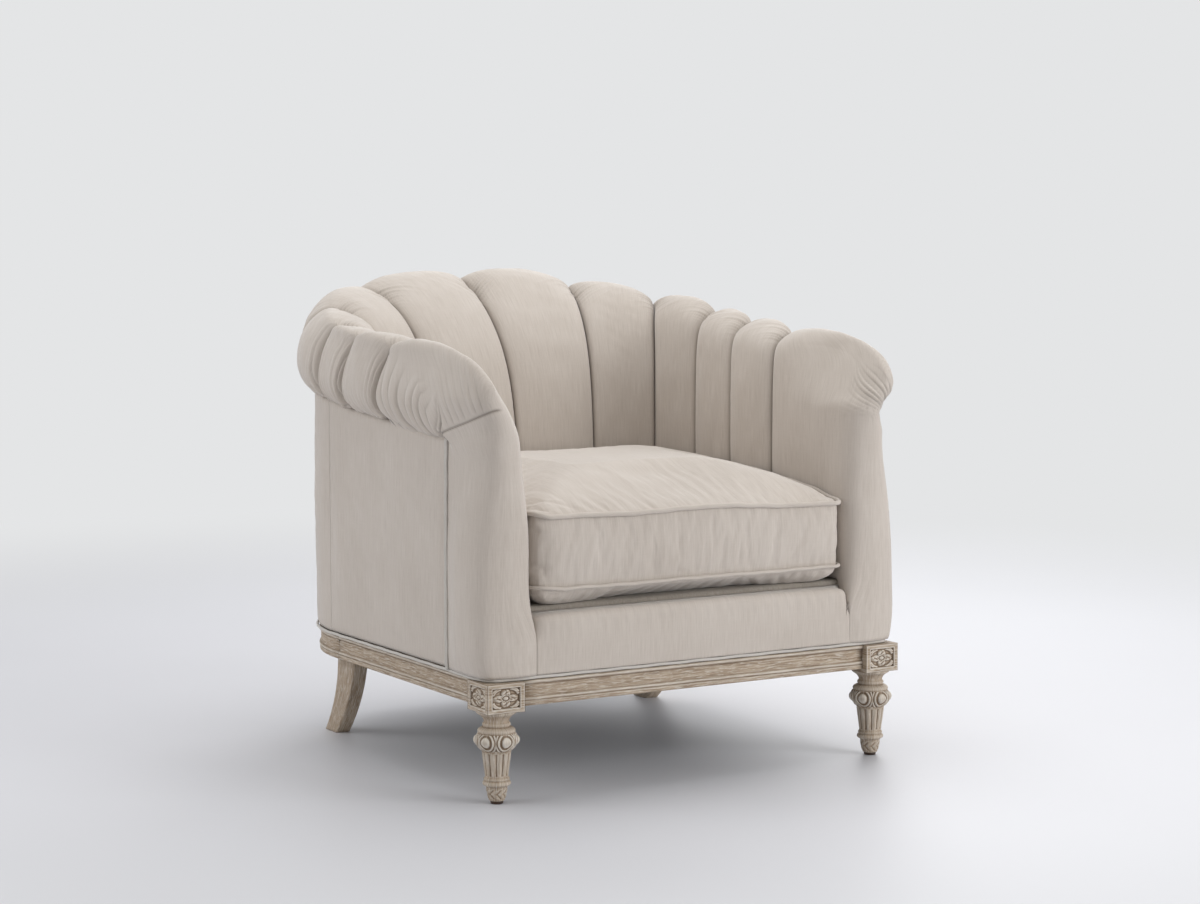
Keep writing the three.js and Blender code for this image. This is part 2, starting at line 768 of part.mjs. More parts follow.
function addChannels() {
  const kinds = ['arm_channel_1', 'arm_channel_2', 'corner_channel', 'back_channel_1', 'back_channel_2'];
  placePair('front_bolster', channelBody(bolsterRing), fabric);
  kinds.forEach((kind, at) => {
    placePair(kind, channelBody((run) => channelRing(at + 1, run)), fabric);
  });
}

// Foam under the channels where they roll over the boards
const rollFirstStep = 4;
const rollStartShares = [0.42, 0.6];
function rollRing(seam) {
  const ring = [];
  for (let step = runSteps; step >= rollFirstStep; step -= 1) {
    ring.push(raised(seam, step / runSteps, -padDepth - 2 * gap));
  }
  const base = topBoardTop + gap;
  const outer = planPoint(basePlan, seamShare(outerSeamShares, seam), -frameOutset);
  return [atHeight(outer, base), ...ring, atHeight(ring.at(-1), base)];
}

function addRollFoam() {
  const seams = [...rollStartShares];
  for (let seam = 1; seam < seamCount / 2; seam += 1 / 2) seams.push(seam);
  seams.push(seamCount / 2 - gap / widestSwell);
  placePair('roll_foam', loft(seams.map(rollRing)), foam);
}

// Outside panels between the welt and the tuck line
const panelBottom = footHeight + 2 * weltRadius + gap;
const panelStart = frontFace + frontReturn + softGap;
function panelRing(seam) {
  const share = seamShare(outerSeamShares, seam);
  const outer = planPoint(basePlan, share, panelReach);
  const inner = planPoint(basePlan, share, panelReach - panelThickness);
  const top = wallPoint(seam, 1).z - panelTuck;
  const foot = [outer, inner].map((point) => atHeight(point, panelBottom));
  return [foot[0], atHeight(outer, top), atHeight(inner, top), foot[1]];
}

function addOutsidePanels() {
  const armEnd = seamCount / 4;
  const start = (panelStart - frontFace) / planLength(basePlan) / outerSeamShares[1];
  const arm = loft([start, 1, 2, armEnd - gap / widestSwell].map(panelRing));
  placePair('outside_arm_panel', arm, fabric);
  const back = [];
  const steps = 2 * seamCount;
  for (let step = 0; step <= steps; step += 1) {
    back.push(panelRing(lerp(armEnd, seamCount - armEnd, step / steps)));
  }
  place('outside_back_panel', loft(back), fabric);
}

// The padded front of an arm fills the round end of the bolster and wraps round to the side
const panelOuterX = baseHalfWidth + panelReach;
function armFrontOutline() {
  const outline = [];
  for (let step = 0; step <= runSteps; step += 1) {
    const [swell, nose] = noseAt(step / runSteps);
    const spot = raised(0, step / runSteps, Math.min(swell - nose, -padDepth) - 3 * gap);
    outline.push([spot.x, spot.z]);
  }
  const shoulder = outline.at(-1)[0];
  const under = wallPoint(0, 1).z - panelTuck;
  const returnX = frontEdgeRadius - panelOuterX;
  outline.push([shoulder, under], [returnX, under], [returnX, panelBottom]);
  outline.unshift([outline[0][0], panelBottom]);
  return outline;
}

function armFront() {
  const outline = armFrontOutline();
  const face = upright(outline.map(([x, z]) => new THREE.Vector2(x, z)), 0, frontPadDepth);
  face.rotateX(quarterTurn).translate(0, frontFace + frontPadDepth, 0);
  const under = wallPoint(0, 1).z - panelTuck;
  const outer = -panelOuterX;
  const wrap = new THREE.Shape();
  const edge = new THREE.Vector2(outer + frontEdgeRadius, frontFace + frontEdgeRadius);
  wrap.moveTo(outer, frontFace + frontReturn);
  wrap.lineTo(outer, edge.y);
  wrap.absarc(edge.x, edge.y, frontEdgeRadius, 2 * quarterTurn, 3 * quarterTurn);
  wrap.lineTo(edge.x + overrun, frontFace);
  wrap.lineTo(edge.x + overrun, frontFace + frontPadDepth);
  wrap.lineTo(outer + panelThickness, frontFace + frontPadDepth);
  wrap.lineTo(outer + panelThickness, frontFace + frontReturn);
  const side = new THREE.ExtrudeGeometry(wrap, {
    depth: under - panelBottom,
    bevelEnabled: false,
    curveSegments: cornerSteps,
  });
  side.translate(0, 0, panelBottom);
  return fromSolid(toSolid(face).add(toSolid(side)));
}

function addFronts() {
  placePair('arm_front', armFront(), fabric);
  const half = -armFrontOutline()[0][0] - gap;
  const back = frontFace + frontPadDepth;
  const apronTop = deckTop - apronDrop;
  const eased = apronEdge / 3;
  const section = [
    [frontFace, panelBottom], [frontFace, apronTop - apronEdge],
    [frontFace + eased, apronTop - eased], [frontFace + apronEdge, apronTop],
    [back, apronTop], [back, panelBottom],
  ];
  place('front_apron', across(section, -half, half), fabric);
}

// Welts: one round the foot of the upholstery, and a double one up each arm
function addBaseWelt() {
  const grow = panelReach - weltRadius;
  const radius = frontEdgeRadius - weltRadius;
  const rear = rearBend(basePlan, grow);
  const middleX = panelOuterX - frontEdgeRadius;
  const corner = [];
  for (let step = 0; step <= cornerSteps; step += 1) {
    const angle = step / cornerSteps * quarterTurn;
    const x = middleX + radius * Math.cos(angle);
    corner.push(new THREE.Vector2(x, frontFace + frontEdgeRadius - radius * Math.sin(angle)));
  }
  const half = rear.slice(bendSteps + 1);
  half[0] = new THREE.Vector2(gap, half[0].y);
  const rightSide = [...half, ...corner];
  const loop = [...rightSide, ...mirrored(rightSide)];
  const height = railTop + gap + weltRadius;
  const path = loop.map((point) => atHeight(point, height));
  place('base_welt', runAlong(path, roundSection(weltRadius)), weltFabric);
}

function addSeamWelts() {
  const top = wallPoint(0, 1).z - panelTuck - overrun;
  const lobe = new THREE.CylinderGeometry(seamWeltRadius, seamWeltRadius, top - panelBottom, weltSides);
  lobe.rotateX(quarterTurn).translate(0, 0, (top + panelBottom) / 2);
  const [ahead, behind] = [-1, 1].map((way) => {
    return toSolid(lobe.clone().translate(0, way * (seamWeltRadius - gap), 0));
  });
  const welt = fromSolid(ahead.add(behind));
  const x = panelOuterX + seamWeltRadius + gap;
  const y = frontFace + frontReturn + softGap / 2;
  for (const [name, side] of sides) {
    place(`arm_welt_${name}`, side < 0 ? welt : mirrorCopy(welt), weltFabric, side * x, y);
  }
}

// Seat cushion
const cushionHalfWidth = innerHalfWidth - fullnessShares[0] * bolsterSwell - cushionClearance;
const cushionCornerRadius = innerCornerRadius - cushionCornerEase;
const cushionLowerEdge = wallFoot + cushionFootRise;
const cushionUpperEdge = cushionLowerEdge + cushionBoxing;
const cushionMiddle = new THREE.Vector2(0, (cushionFront + cushionBack) / 2);
const edgeSteps = 4;

function cushionCorner(x, y, radius, inset, from) {
  const points = [];
  for (let step = 0; step <= cornerSteps; step += 1) {
    const angle = from + step / cornerSteps * quarterTurn;
    const reach = radius - inset;
    points.push(new THREE.Vector2(x + reach * Math.cos(angle), y + reach * Math.sin(angle)));
  }
  return points;
}

// The outline of the cushion, drawn in by an inset, from the middle of its rear edge round
function cushionOutline(inset, drawShare) {
  const rearX = cushionHalfWidth - cushionCornerRadius;
  const frontX = cushionHalfWidth - cushionFrontRadius;
  const frontY = cushionFront + cushionFrontRadius;
  const rearY = cushionBack - cushionCornerRadius;
  const front = cushionCorner(frontX, frontY, cushionFrontRadius, inset, 3 * quarterTurn);
  const rear = cushionCorner(rearX, rearY, cushionCornerRadius, inset, 0);
  const half = [
    ...between(new THREE.Vector2(gap, front[0].y), front[0]), ...front,
    ...between(front.at(-1), rear[0]).slice(1), ...rear,
    ...between(rear.at(-1), new THREE.Vector2(gap, rear.at(-1).y)).slice(1),
  ];
  half.push(new THREE.Vector2(gap, rear.at(-1).y));
  const pulled = half.map((point) => drawnIn(point, drawShare));
  return [...pulled, ...mirrored(pulled)];
}

function between(start, end) {
  const points = [];
  for (let step = 0; step < edgeSteps; step += 1) points.push(start.clone().lerp(end, step / edgeSteps));
  return points;
}

// The sides of the cushion pull in between its corners
function drawnIn(point, share) {
  const away = point.clone().sub(cushionMiddle);
  const halfDepth = (cushionBack - cushionFront) / 2;
  const cornerness = Math.min(Math.abs(away.x / cushionHalfWidth * away.y / halfDepth), 1);
  const pull = cushionDrawIn * share * (1 - cornerness ** 2);
  return point.clone().addScaledVector(away.normalize(), -pull);
}

function shrunk(outline, keep) {
  return outline.map((point) => cushionMiddle.clone().lerp(point, keep));
}

function addCushion() {
  const edgeInset = pipingRadius - pipingReach + pipingRadius + gap;
  const rings = [];
  const rim = cushionOutline(cushionRimInset, 0);
  const foot = 1 - cushionFootInset / cushionHalfWidth;
  rings.push(shrunk(rim, foot).map((point) => atHeight(point, wallFoot)));
  rings.push(rim.map((point) => atHeight(point, lerp(wallFoot, cushionLowerEdge, cushionUndersideShare))));
  for (const [up, draw] of cushionSideShares) {
    const inset = up === 0 || up === 1 ? edgeInset : 0;
    rings.push(cushionOutline(inset, draw).map((point) => atHeight(point, cushionLowerEdge + up * cushionBoxing)));
  }
  for (const keep of [1, ...cushionCrownShares]) {
    const rise = 1 - (cushionRimShare * keep) ** cushionCrownPowerShare;
    const level = cushionUpperEdge + rise * cushionCrownRise;
    rings.push(shrunk(rim, keep).map((point) => atHeight(point, level)));
  }
  place('seat_cushion', loft(rings), fabric);
  const inset = pipingRadius - pipingReach;
  const [, lowDraw] = cushionSideShares[0];
  for (const [name, level] of [['upper', cushionUpperEdge], ['lower', cushionLowerEdge]]) {
    const outline = cushionOutline(inset, lowDraw).map((point) => atHeight(point, level));
    const path = [...outline.slice(outline.length / 2), ...outline.slice(0, outline.length / 2)];
    place(`cushion_piping_${name}`, runAlong(path, roundSection(pipingRadius)), fabric);
  }
}

addRails();
addFrontLegs();
for (const [name, side] of sides) place(`rear_leg_${name}`, rearLeg(side), limedOak);
addBraces();
addDustCover();
addPosts();
addSeatRails();
addTopBoards();
addLinings();
addSprings();
addDeck();
addChannels();
addRollFoam();
addOutsidePanels();
addFronts();
addBaseWelt();
addSeamWelts();
addCushion();

const bounds = new THREE.Box3().setFromObject(chair);
chair.position.y = -(bounds.min.y + bounds.max.y) / 2;

export default chair;
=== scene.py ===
# Looks of the barrel armchair: a limed oak base, channels that roll over the top, padded arm
# fronts with gathered tops, outside panels, welts and a loose stuffed cushion.
# Lengths are in metres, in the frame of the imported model. "Left" is at -x. Pieces are made on
# the left in the chair's own plan, whose y starts at the front of the corner blocks, and are
# mirrored for the right.

import json
import math

import bmesh
import bpy
import numpy as np
from mathutils import Matrix, Vector
from mathutils.kdtree import KDTree


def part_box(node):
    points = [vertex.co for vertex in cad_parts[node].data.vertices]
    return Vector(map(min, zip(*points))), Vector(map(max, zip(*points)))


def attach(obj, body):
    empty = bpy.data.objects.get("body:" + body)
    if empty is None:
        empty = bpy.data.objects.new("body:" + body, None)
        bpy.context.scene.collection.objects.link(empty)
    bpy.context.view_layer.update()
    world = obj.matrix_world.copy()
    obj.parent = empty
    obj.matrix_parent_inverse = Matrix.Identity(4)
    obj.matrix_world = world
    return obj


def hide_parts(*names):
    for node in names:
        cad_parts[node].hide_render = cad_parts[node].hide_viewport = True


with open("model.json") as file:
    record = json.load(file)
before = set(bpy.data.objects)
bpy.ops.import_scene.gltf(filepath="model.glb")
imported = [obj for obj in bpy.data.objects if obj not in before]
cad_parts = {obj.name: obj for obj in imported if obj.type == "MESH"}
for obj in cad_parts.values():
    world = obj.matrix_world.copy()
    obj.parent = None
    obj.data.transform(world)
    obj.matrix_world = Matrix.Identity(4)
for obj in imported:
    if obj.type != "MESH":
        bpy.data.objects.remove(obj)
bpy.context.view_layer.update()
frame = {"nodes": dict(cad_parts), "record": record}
nodes = frame["nodes"]
scene = bpy.context.scene
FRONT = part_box("front_leg_left")[0].y

# The chair's plan and heights, as in the CAD model
FACE = 0.012
INNER = (0.338, 0.67, 0.14)
BASE = (0.42, 0.93, 0.3)
ROLL_REACH = 0.02
ARM_CREST, BACK_CREST = 0.757, 0.866
WALL_FOOT = 0.3299
TUCK_DROP = 0.026
PAD = 0.014
RAIL_LOW, RAIL_TOP = 0.167, 0.211
RAIL_GAP = 0.0003
PANEL_LOW = 0.2178
PANEL_OUT = 0.425
WELT_Y = 0.151
SEAMS = 12
INNER_SHARES = [0, 0.288, 0.439, 0.573, 0.675, 0.812, 1]
OUTER_SHARES = [0, 0.31, 0.427, 0.515, 0.65, 0.801, 1]
CREST_RISE = [0, 0.05, 0.17, 0.34, 0.58, 0.87, 1]
ARM_RUN = np.array([
    [0, 0], [0, 0.36], [0.01, 0.55], [0.03, 0.7], [0.08, 0.82], [0.17, 0.915], [0.31, 0.975],
    [0.5, 1], [0.72, 0.985], [0.91, 0.915], [1, 0.82], [0.985, 0.76], [0.905, 0.725]])
BACK_RUN = np.array([
    [-0.05, 0], [-0.01, 0.353], [0.045, 0.546], [0.115, 0.664], [0.22, 0.767], [0.36, 0.852],
    [0.54, 0.926], [0.7, 0.972], [0.84, 0.998], [0.95, 0.975], [1, 0.905], [0.995, 0.835],
    [0.955, 0.79]])
FULLNESS = np.array([.067, .067, .09, .11, .12, .13, .14, .14, .13, .12, .1, .07, .04])
FRONT_LEAN = np.array([0, .02, .12, .18, .2, .17, .1, .03, 0, -.04, -.05, -.04, -.02])
LAST = len(ARM_RUN) - 1
CREST_AT = 7 / LAST


# Numbers

def step(x, low, high):
    t = np.clip((np.asarray(x, float) - low) / (high - low), 0, 1)
    return t * t * (3 - 2 * t)


def hump(x, at, width):
    return np.exp(-((x - at) / width) ** 2)


def spline(table, share):
    """A smooth curve through a table's rows at equal steps of the share."""
    table = np.asarray(table, float)
    last = len(table) - 1
    at = np.clip(np.asarray(share, float), 0, 1) * last
    i = np.minimum(np.floor(at).astype(int), last - 1)
    w = at - i
    if table.ndim > 1:
        w = w[..., None]
    a, b = table[np.maximum(i - 1, 0)], table[i]
    c, d = table[i + 1], table[np.minimum(i + 2, last)]
    u, v = (c - a) / 2, (d - b) / 2
    return ((2 * b - 2 * c + u + v) * w + (-3 * b + 3 * c - 2 * u - v)) * w * w + u * w + b


def hash01(n):
    """A fixed number from 0 to 1 for each whole number."""
    x = np.sin(np.asarray(n, float) * 12.9898 + 4.137) * 43758.5453
    return x - np.floor(x)


WAVES = np.random.default_rng(7).normal(size=(40, 3))
PHASES = np.random.default_rng(11).uniform(0, 2 * math.pi, 40)


def wobble(p, size, seed=0):
    """Soft uneven waves, about -1 to 1, whose hills are about size across."""
    total = 0
    for k in range(6):
        way = WAVES[(seed * 7 + k) % 40]
        way = way / np.linalg.norm(way) * (0.7 + 0.25 * k)
        total = total + np.sin(p @ way * (math.pi / size) + PHASES[(seed * 5 + k) % 40])
    return total / 3.5


def ridge(phase, seed=0):
    """Folds with round backs and sharp valleys, one to each whole number, each its own height."""
    at = np.floor(phase)
    return np.abs(np.sin(math.pi * phase)) ** 0.6 * (0.2 + 0.8 * hash01(at + 17 * seed))


def fold_valley_shade(phase):
    """Where painted shade goes: the narrow valleys between the folds of a ridge."""
    return np.exp(-(np.sin(math.pi * phase) / 0.3) ** 2)


# Plan of the chair

def plan_point(plan, share, grow=0.0):
    half, back, radius = plan
    share = np.asarray(share, float)
    s = np.where(share > 1, 2 - share, share)
    mx, my = radius - half, back - radius
    side, bend = my - FACE, radius * math.pi / 2
    way = s * (side + bend - mx)
    angle = np.clip((way - side) / radius, 0, math.pi / 2)
    r = radius + grow
    x = mx - r * np.cos(angle) + np.maximum(way - side - bend, 0)
    y = my + r * np.sin(angle) - np.maximum(side - way, 0)
    return np.stack([np.where(share > 1, -x, x), y], -1)


def plan_length(plan):
    half, back, radius = plan
    return back - FACE + half - 2 * radius + radius * math.pi / 2


def seam_share(table, seam):
    half = np.interp(np.minimum(seam, SEAMS - seam), range(len(table)), table)
    return np.where(seam > SEAMS / 2, 2 - half, half)


def wall_point(seam, run):
    seam, run = np.broadcast_arrays(np.asarray(seam, float), np.asarray(run, float))
    near = np.minimum(seam, SEAMS - seam)
    inner = plan_point(INNER, seam_share(INNER_SHARES, seam))
    outer = plan_point(BASE, seam_share(OUTER_SHARES, seam), ROLL_REACH)
    back = step(near, SEAMS / 4, SEAMS / 2)[..., None]
    spot = spline(ARM_RUN, run) * (1 - back) + spline(BACK_RUN, run) * back
    crest = ARM_CREST + (BACK_CREST - ARM_CREST) * np.interp(near, range(7), CREST_RISE)
    front = np.maximum(1 - near, 0)
    drop = TUCK_DROP * front * step(run * LAST, LAST - 3, LAST)
    lean = front * spline(FRONT_LEAN, run)
    across = (spot[..., 0] + lean)[..., None]
    plan = inner * (1 - across) + outer * across
    z = WALL_FOOT + (crest - WALL_FOOT) * spot[..., 1] - drop
    return np.concatenate([plan, z[..., None]], -1)


def wall_normal(seam, run):
    seam, run = np.broadcast_arrays(np.asarray(seam, float), np.asarray(run, float))
    up = wall_point(seam, np.minimum(run + 0.004, 1)) - wall_point(seam, np.maximum(run - 0.004, 0))
    ahead = wall_point(np.minimum(seam + 0.05, SEAMS), run)
    ahead = ahead - wall_point(np.maximum(seam - 0.05, 0), run)
    way = np.cross(ahead, up)
    way[..., 2] = np.where(run < 1e-6, 0, way[..., 2])
    return way / np.linalg.norm(way, axis=-1, keepdims=True)


def raised(seam, run, height):
    return wall_point(seam, run) + wall_normal(seam, run) * np.asarray(height)[..., None]


# Meshes

def mirror(p):
    return p * np.array([-1, 1, 1])


def build(name, points, faces, look, weave=None, body="chair", smooth=True, closed=True):
    """A mesh object from points in the chair's plan. weave gives each face corner its place in
    the cloth or along the grain, in metres."""
    mesh = bpy.data.meshes.new(name)
    placed = np.asarray(points, float).reshape(-1, 3) + np.array([0, FRONT, 0])
    mesh.from_pydata(placed.tolist(), [], [list(map(int, f)) for f in faces])
    if weave is not None:
        layer = mesh.uv_layers.new(name="weave")
        layer.data.foreach_set("uv", np.asarray(weave, np.float32).ravel())
    mesh.update()
    if smooth:
        mesh.polygons.foreach_set("use_smooth", [True] * len(mesh.polygons))
    obj = bpy.data.objects.new(name, mesh)
    scene.collection.objects.link(obj)
    mesh.materials.append(look)
    if closed:
        face_outwards(obj)
    obj["body"] = body
    return obj


def face_outwards(obj):
    """Turns a closed mesh inside out if its volume is negative."""
    mesh = obj.data
    mesh.calc_loop_triangles()
    co = np.zeros(len(mesh.vertices) * 3)
    mesh.vertices.foreach_get("co", co)
    co = co.reshape(-1, 3)
    tri = np.zeros(len(mesh.loop_triangles) * 3, int)
    mesh.loop_triangles.foreach_get("vertices", tri)
    a, b, c = (co[tri.reshape(-1, 3)[:, k]] for k in range(3))
    if (a * np.cross(b, c)).sum() < 0:
        mesh.flip_normals()


def metres(p, wrap=False):
    """Places on a grid's cloth: across by the mean width of its rows, along by their length."""
    ring = np.concatenate([p, p[:, :1]], 1) if wrap else p
    across = np.linalg.norm(np.diff(ring, axis=1), axis=-1).mean(0)
    along = np.linalg.norm(np.diff(ring, axis=0), axis=-1).mean(1)
    u = np.concatenate([[0], np.cumsum(across)])
    v = np.concatenate([[0], np.cumsum(along)])
    return np.stack(np.meshgrid(u, v), -1)


def grid(name, p, look, wrap=False, caps=False, weave=None, closed=True, **rest):
    """A mesh over rows of points, whose rows may close into rings with a cap at each end."""
    rows, cols = p.shape[:2]
    weave = metres(p, wrap) if weave is None else weave
    r, c = (x.ravel() for x in np.mgrid[0:rows - 1, 0:cols if wrap else cols - 1])
    nxt = (c + 1) % cols
    faces = np.stack([r * cols + c, r * cols + nxt, (r + 1) * cols + nxt, (r + 1) * cols + c], -1)
    corners = np.stack([weave[r, c], weave[r, c + 1], weave[r + 1, c + 1], weave[r + 1, c]], 1)
    points, faces, corners = p.reshape(-1, 3), faces.tolist(), [corners.reshape(-1, 2)]
    if caps:
        for row in (0, rows - 1):
            middle = len(points)
            points = np.concatenate([points, p[row].mean(0)[None]])
            for k in range(cols):
                a, b = row * cols + k, row * cols + (k + 1) % cols
                faces.append([middle, b, a] if row == 0 else [middle, a, b])
                first = weave[row, k + 1] if row == 0 else weave[row, k]
                second = weave[row, k] if row == 0 else weave[row, k + 1]
                corners.append(np.array([(first + second) / 2, first, second]))
    return build(name, points, faces, look, np.concatenate(corners), closed=closed, **rest)


def tube(name, path, radius, look, sides=12, loop=True, flat=1.0, **rest):
    """A round cord along a path that stays nearly level or upright."""
    path = np.asarray(path, float)
    if loop:
        ahead = np.roll(path, -1, 0) - np.roll(path, 1, 0)
    else:
        ahead = np.gradient(path, axis=0)
    ahead /= np.linalg.norm(ahead, axis=1, keepdims=True)
    up = np.array([0, 0, 1.0]) if abs(ahead[:, 2]).mean() < 0.7 else np.array([0, 1.0, 0])
    aside = np.cross(ahead, up)
    aside /= np.linalg.norm(aside, axis=1, keepdims=True)
    over = np.cross(aside, ahead)
    angle = np.arange(sides) / sides * 2 * math.pi
    ring = aside[:, None] * np.cos(angle)[None, :, None]
    ring = ring + over[:, None] * (flat * np.sin(angle))[None, :, None]
    p = path[:, None] + radius * ring
    if loop:
        p = np.concatenate([p, p[:1]])
        obj = grid(name, p, look, wrap=True, closed=False, **rest)
        weld(obj, 1e-6)
        face_outwards(obj)
        return obj
    return grid(name, p, look, wrap=True, caps=True, **rest)


def apply_modifiers(obj):
    view = bpy.context.evaluated_depsgraph_get()
    mesh = bpy.data.meshes.new_from_object(obj.evaluated_get(view))
    obj.modifiers.clear()
    obj.data = mesh


def weld(obj, distance):
    mod = obj.modifiers.new("weld", "WELD")
    mod.merge_threshold = distance
    apply_modifiers(obj)


def thicken(obj, depth):
    """Gives an open sheet a back, so that it is a closed body."""
    mod = obj.modifiers.new("shell", "SOLIDIFY")
    mod.thickness, mod.offset = depth, -1
    apply_modifiers(obj)
    obj.data.polygons.foreach_set("use_smooth", [True] * len(obj.data.polygons))


def set_values(obj, name, values):
    """Stores a number for each point of a grid; the points of its caps get 0."""
    values = np.asarray(values, np.float32).ravel()
    values = np.pad(values, (0, len(obj.data.vertices) - len(values)))
    obj.data.attributes.new(name, "FLOAT", "POINT").data.foreach_set("value", values)


def stands_out(p, out, times, wrap=False):
    """How far a grid's points stand out from a smoothed copy of it, along the way out."""
    q = p
    for _ in range(times):
        left = np.roll(q, 1, 1) if wrap else np.concatenate([q[:, :1], q[:, :-1]], 1)
        right = np.roll(q, -1, 1) if wrap else np.concatenate([q[:, 1:], q[:, -1:]], 1)
        up = np.concatenate([q[:1], q[:-1]])
        down = np.concatenate([q[1:], q[-1:]])
        q = (left + right + up + down) / 4
    return ((p - q) * out).sum(-1)


def carving_highlight_and_shade(obj, proud, scale=0.0003):
    """Painted highlight on the ridges and painted shade in the hollows, in the limed oak's colours."""
    set_values(obj, "ridge", np.clip(proud / scale, 0, 1))
    set_values(obj, "hollow_shade", np.clip(-proud / scale, 0, 1))


def finish_piece(obj, replaced=(), body="chair"):
    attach(obj, body)
    if replaced:
        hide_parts(*replaced)
    return obj


# Materials

class Look:
    """A node material with a Principled shader and short ways to add nodes."""

    def __init__(self, name, **values):
        self.material = bpy.data.materials.new(name)
        self.material.use_nodes = True
        self.tree = self.material.node_tree
        self.shader = next(n for n in self.tree.nodes if n.type == "BSDF_PRINCIPLED")
        for key, value in values.items():
            self.shader.inputs[key.replace("_", " ")].default_value = value

    def add(self, kind, **settings):
        node = self.tree.nodes.new("ShaderNode" + kind)
        for key, value in settings.items():
            setattr(node, key, value)
        return node

    def feed(self, socket, value):
        if isinstance(value, bpy.types.NodeSocket):
            self.tree.links.new(value, socket)
        elif value is not None:
            socket.default_value = value

    def sum(self, kind, a, b=None, clamp=False):
        node = self.add("Math", operation=kind, use_clamp=clamp)
        self.feed(node.inputs[0], a)
        self.feed(node.inputs[1], b)
        return node.outputs[0]

    def scaled(self, place, size):
        node = self.add("VectorMath", operation="MULTIPLY")
        self.feed(node.inputs[0], place)
        node.inputs[1].default_value = size
        return node.outputs[0]

    def noise(self, place, size, detail=2.0, rough=0.5, scale=1.0):
        node = self.add("TexNoise")
        self.feed(node.inputs["Vector"], self.scaled(place, size))
        node.inputs["Scale"].default_value = scale
        node.inputs["Detail"].default_value = detail
        node.inputs["Roughness"].default_value = rough
        return node.outputs["Fac"]

    def ramp(self, value, *stops):
        node = self.add("ValToRGB")
        self.feed(node.inputs[0], value)
        parts = node.color_ramp.elements
        while len(parts) < len(stops):
            parts.new(0.5)
        for part, (at, colour) in zip(parts, stops):
            part.position = at
            part.color = (*colour, 1) if isinstance(colour, tuple) else (colour, colour, colour, 1)
        return node.outputs[0]

    def mix(self, share, a, b, blend="MIX"):
        node = self.add("Mix", data_type="RGBA", blend_type=blend)
        self.feed(node.inputs["Factor"], share)
        self.feed(node.inputs[6], (*a, 1) if isinstance(a, tuple) else a)
        self.feed(node.inputs[7], (*b, 1) if isinstance(b, tuple) else b)
        return node.outputs[2]

    def bump(self, height, distance, strength=1.0, over=None):
        node = self.add("Bump")
        node.inputs["Strength"].default_value = strength
        node.inputs["Distance"].default_value = distance
        self.feed(node.inputs["Height"], height)
        self.feed(node.inputs["Normal"], over)
        return node.outputs[0]

    def done(self, colour, roughness, normal=None):
        self.feed(self.shader.inputs["Base Color"], colour)
        self.feed(self.shader.inputs["Roughness"], roughness)
        self.feed(self.shader.inputs["Normal"], normal)
        return self.material


def linear(red, green, blue):
    """A colour for the shader from its values on a screen, 0 to 255."""
    return tuple(((v / 255 + 0.055) / 1.055) ** 2.4 if v > 10 else v / 3294.6 for v in (red, green, blue))


# Colour of the painted shade in the seams and in the valleys of gathers and puckers
SEAM_SHADE = linear(112, 101, 92)


def cloth_look(name, base, dark, light, thread=0.0011, slub=1.0, sheen=0.4, **values):
    """Woven cloth: crossed threads, long uneven slubs along the warp, soft patches of tone."""
    look = Look(name, Sheen_Weight=sheen, Sheen_Roughness=0.45, Specular_IOR_Level=0.22, **values)
    place = look.add("UVMap", uv_map="weave").outputs[0]
    world = look.add("TexCoord").outputs["Object"]
    split = look.add("SeparateXYZ")
    look.feed(split.inputs[0], place)
    turn = 2 * math.pi / thread
    warp = look.sum("SINE", look.sum("MULTIPLY", split.outputs[0], turn))
    weft = look.sum("SINE", look.sum("MULTIPLY", split.outputs[1], turn * 0.8))
    weave = look.sum("ADD", look.sum("MULTIPLY", look.sum("MULTIPLY", warp, weft), 0.25), 0.5)
    fine = look.noise(place, (620, 26, 1), detail=2.5, rough=0.6)
    coarse = look.noise(place, (260, 8, 1), detail=2)
    cross = look.noise(place, (22, 480, 1), detail=2)
    patch = look.noise(world, (5.5, 5.5, 5.5), detail=2)
    tone = look.sum("ADD", look.sum("MULTIPLY", fine, 0.5 * slub), look.sum("MULTIPLY", coarse, 0.24 * slub))
    tone = look.sum("ADD", tone, look.sum("MULTIPLY", cross, 0.1 * slub))
    tone = look.sum("ADD", tone, look.sum("MULTIPLY", patch, 0.3))
    tone = look.sum("SUBTRACT", tone, 0.42 * slub + 0.15 - 0.5)
    threads = look.ramp(tone, (0.24, dark), (0.5, base), (0.76, light))
    # Painted shade: the seam attribute darkens the cloth along seams and in fold valleys
    seam = look.add("Attribute", attribute_name="seam").outputs["Fac"]
    colour = look.mix(look.sum("MULTIPLY", seam, 0.8, clamp=True), threads, SEAM_SHADE)
    rough = look.sum("ADD", look.sum("MULTIPLY", fine, 0.12), 0.8)
    height = look.sum("ADD", look.sum("MULTIPLY", weave, 0.6), look.sum("MULTIPLY", fine, 0.9))
    height = look.sum("ADD", height, look.sum("MULTIPLY", cross, 0.2))
    normal = look.bump(height, 0.00035, 0.55)
    normal = look.bump(look.noise(world, (24, 24, 24), detail=2), 0.0025, 0.16, over=normal)
    return look.done(colour, rough, normal)


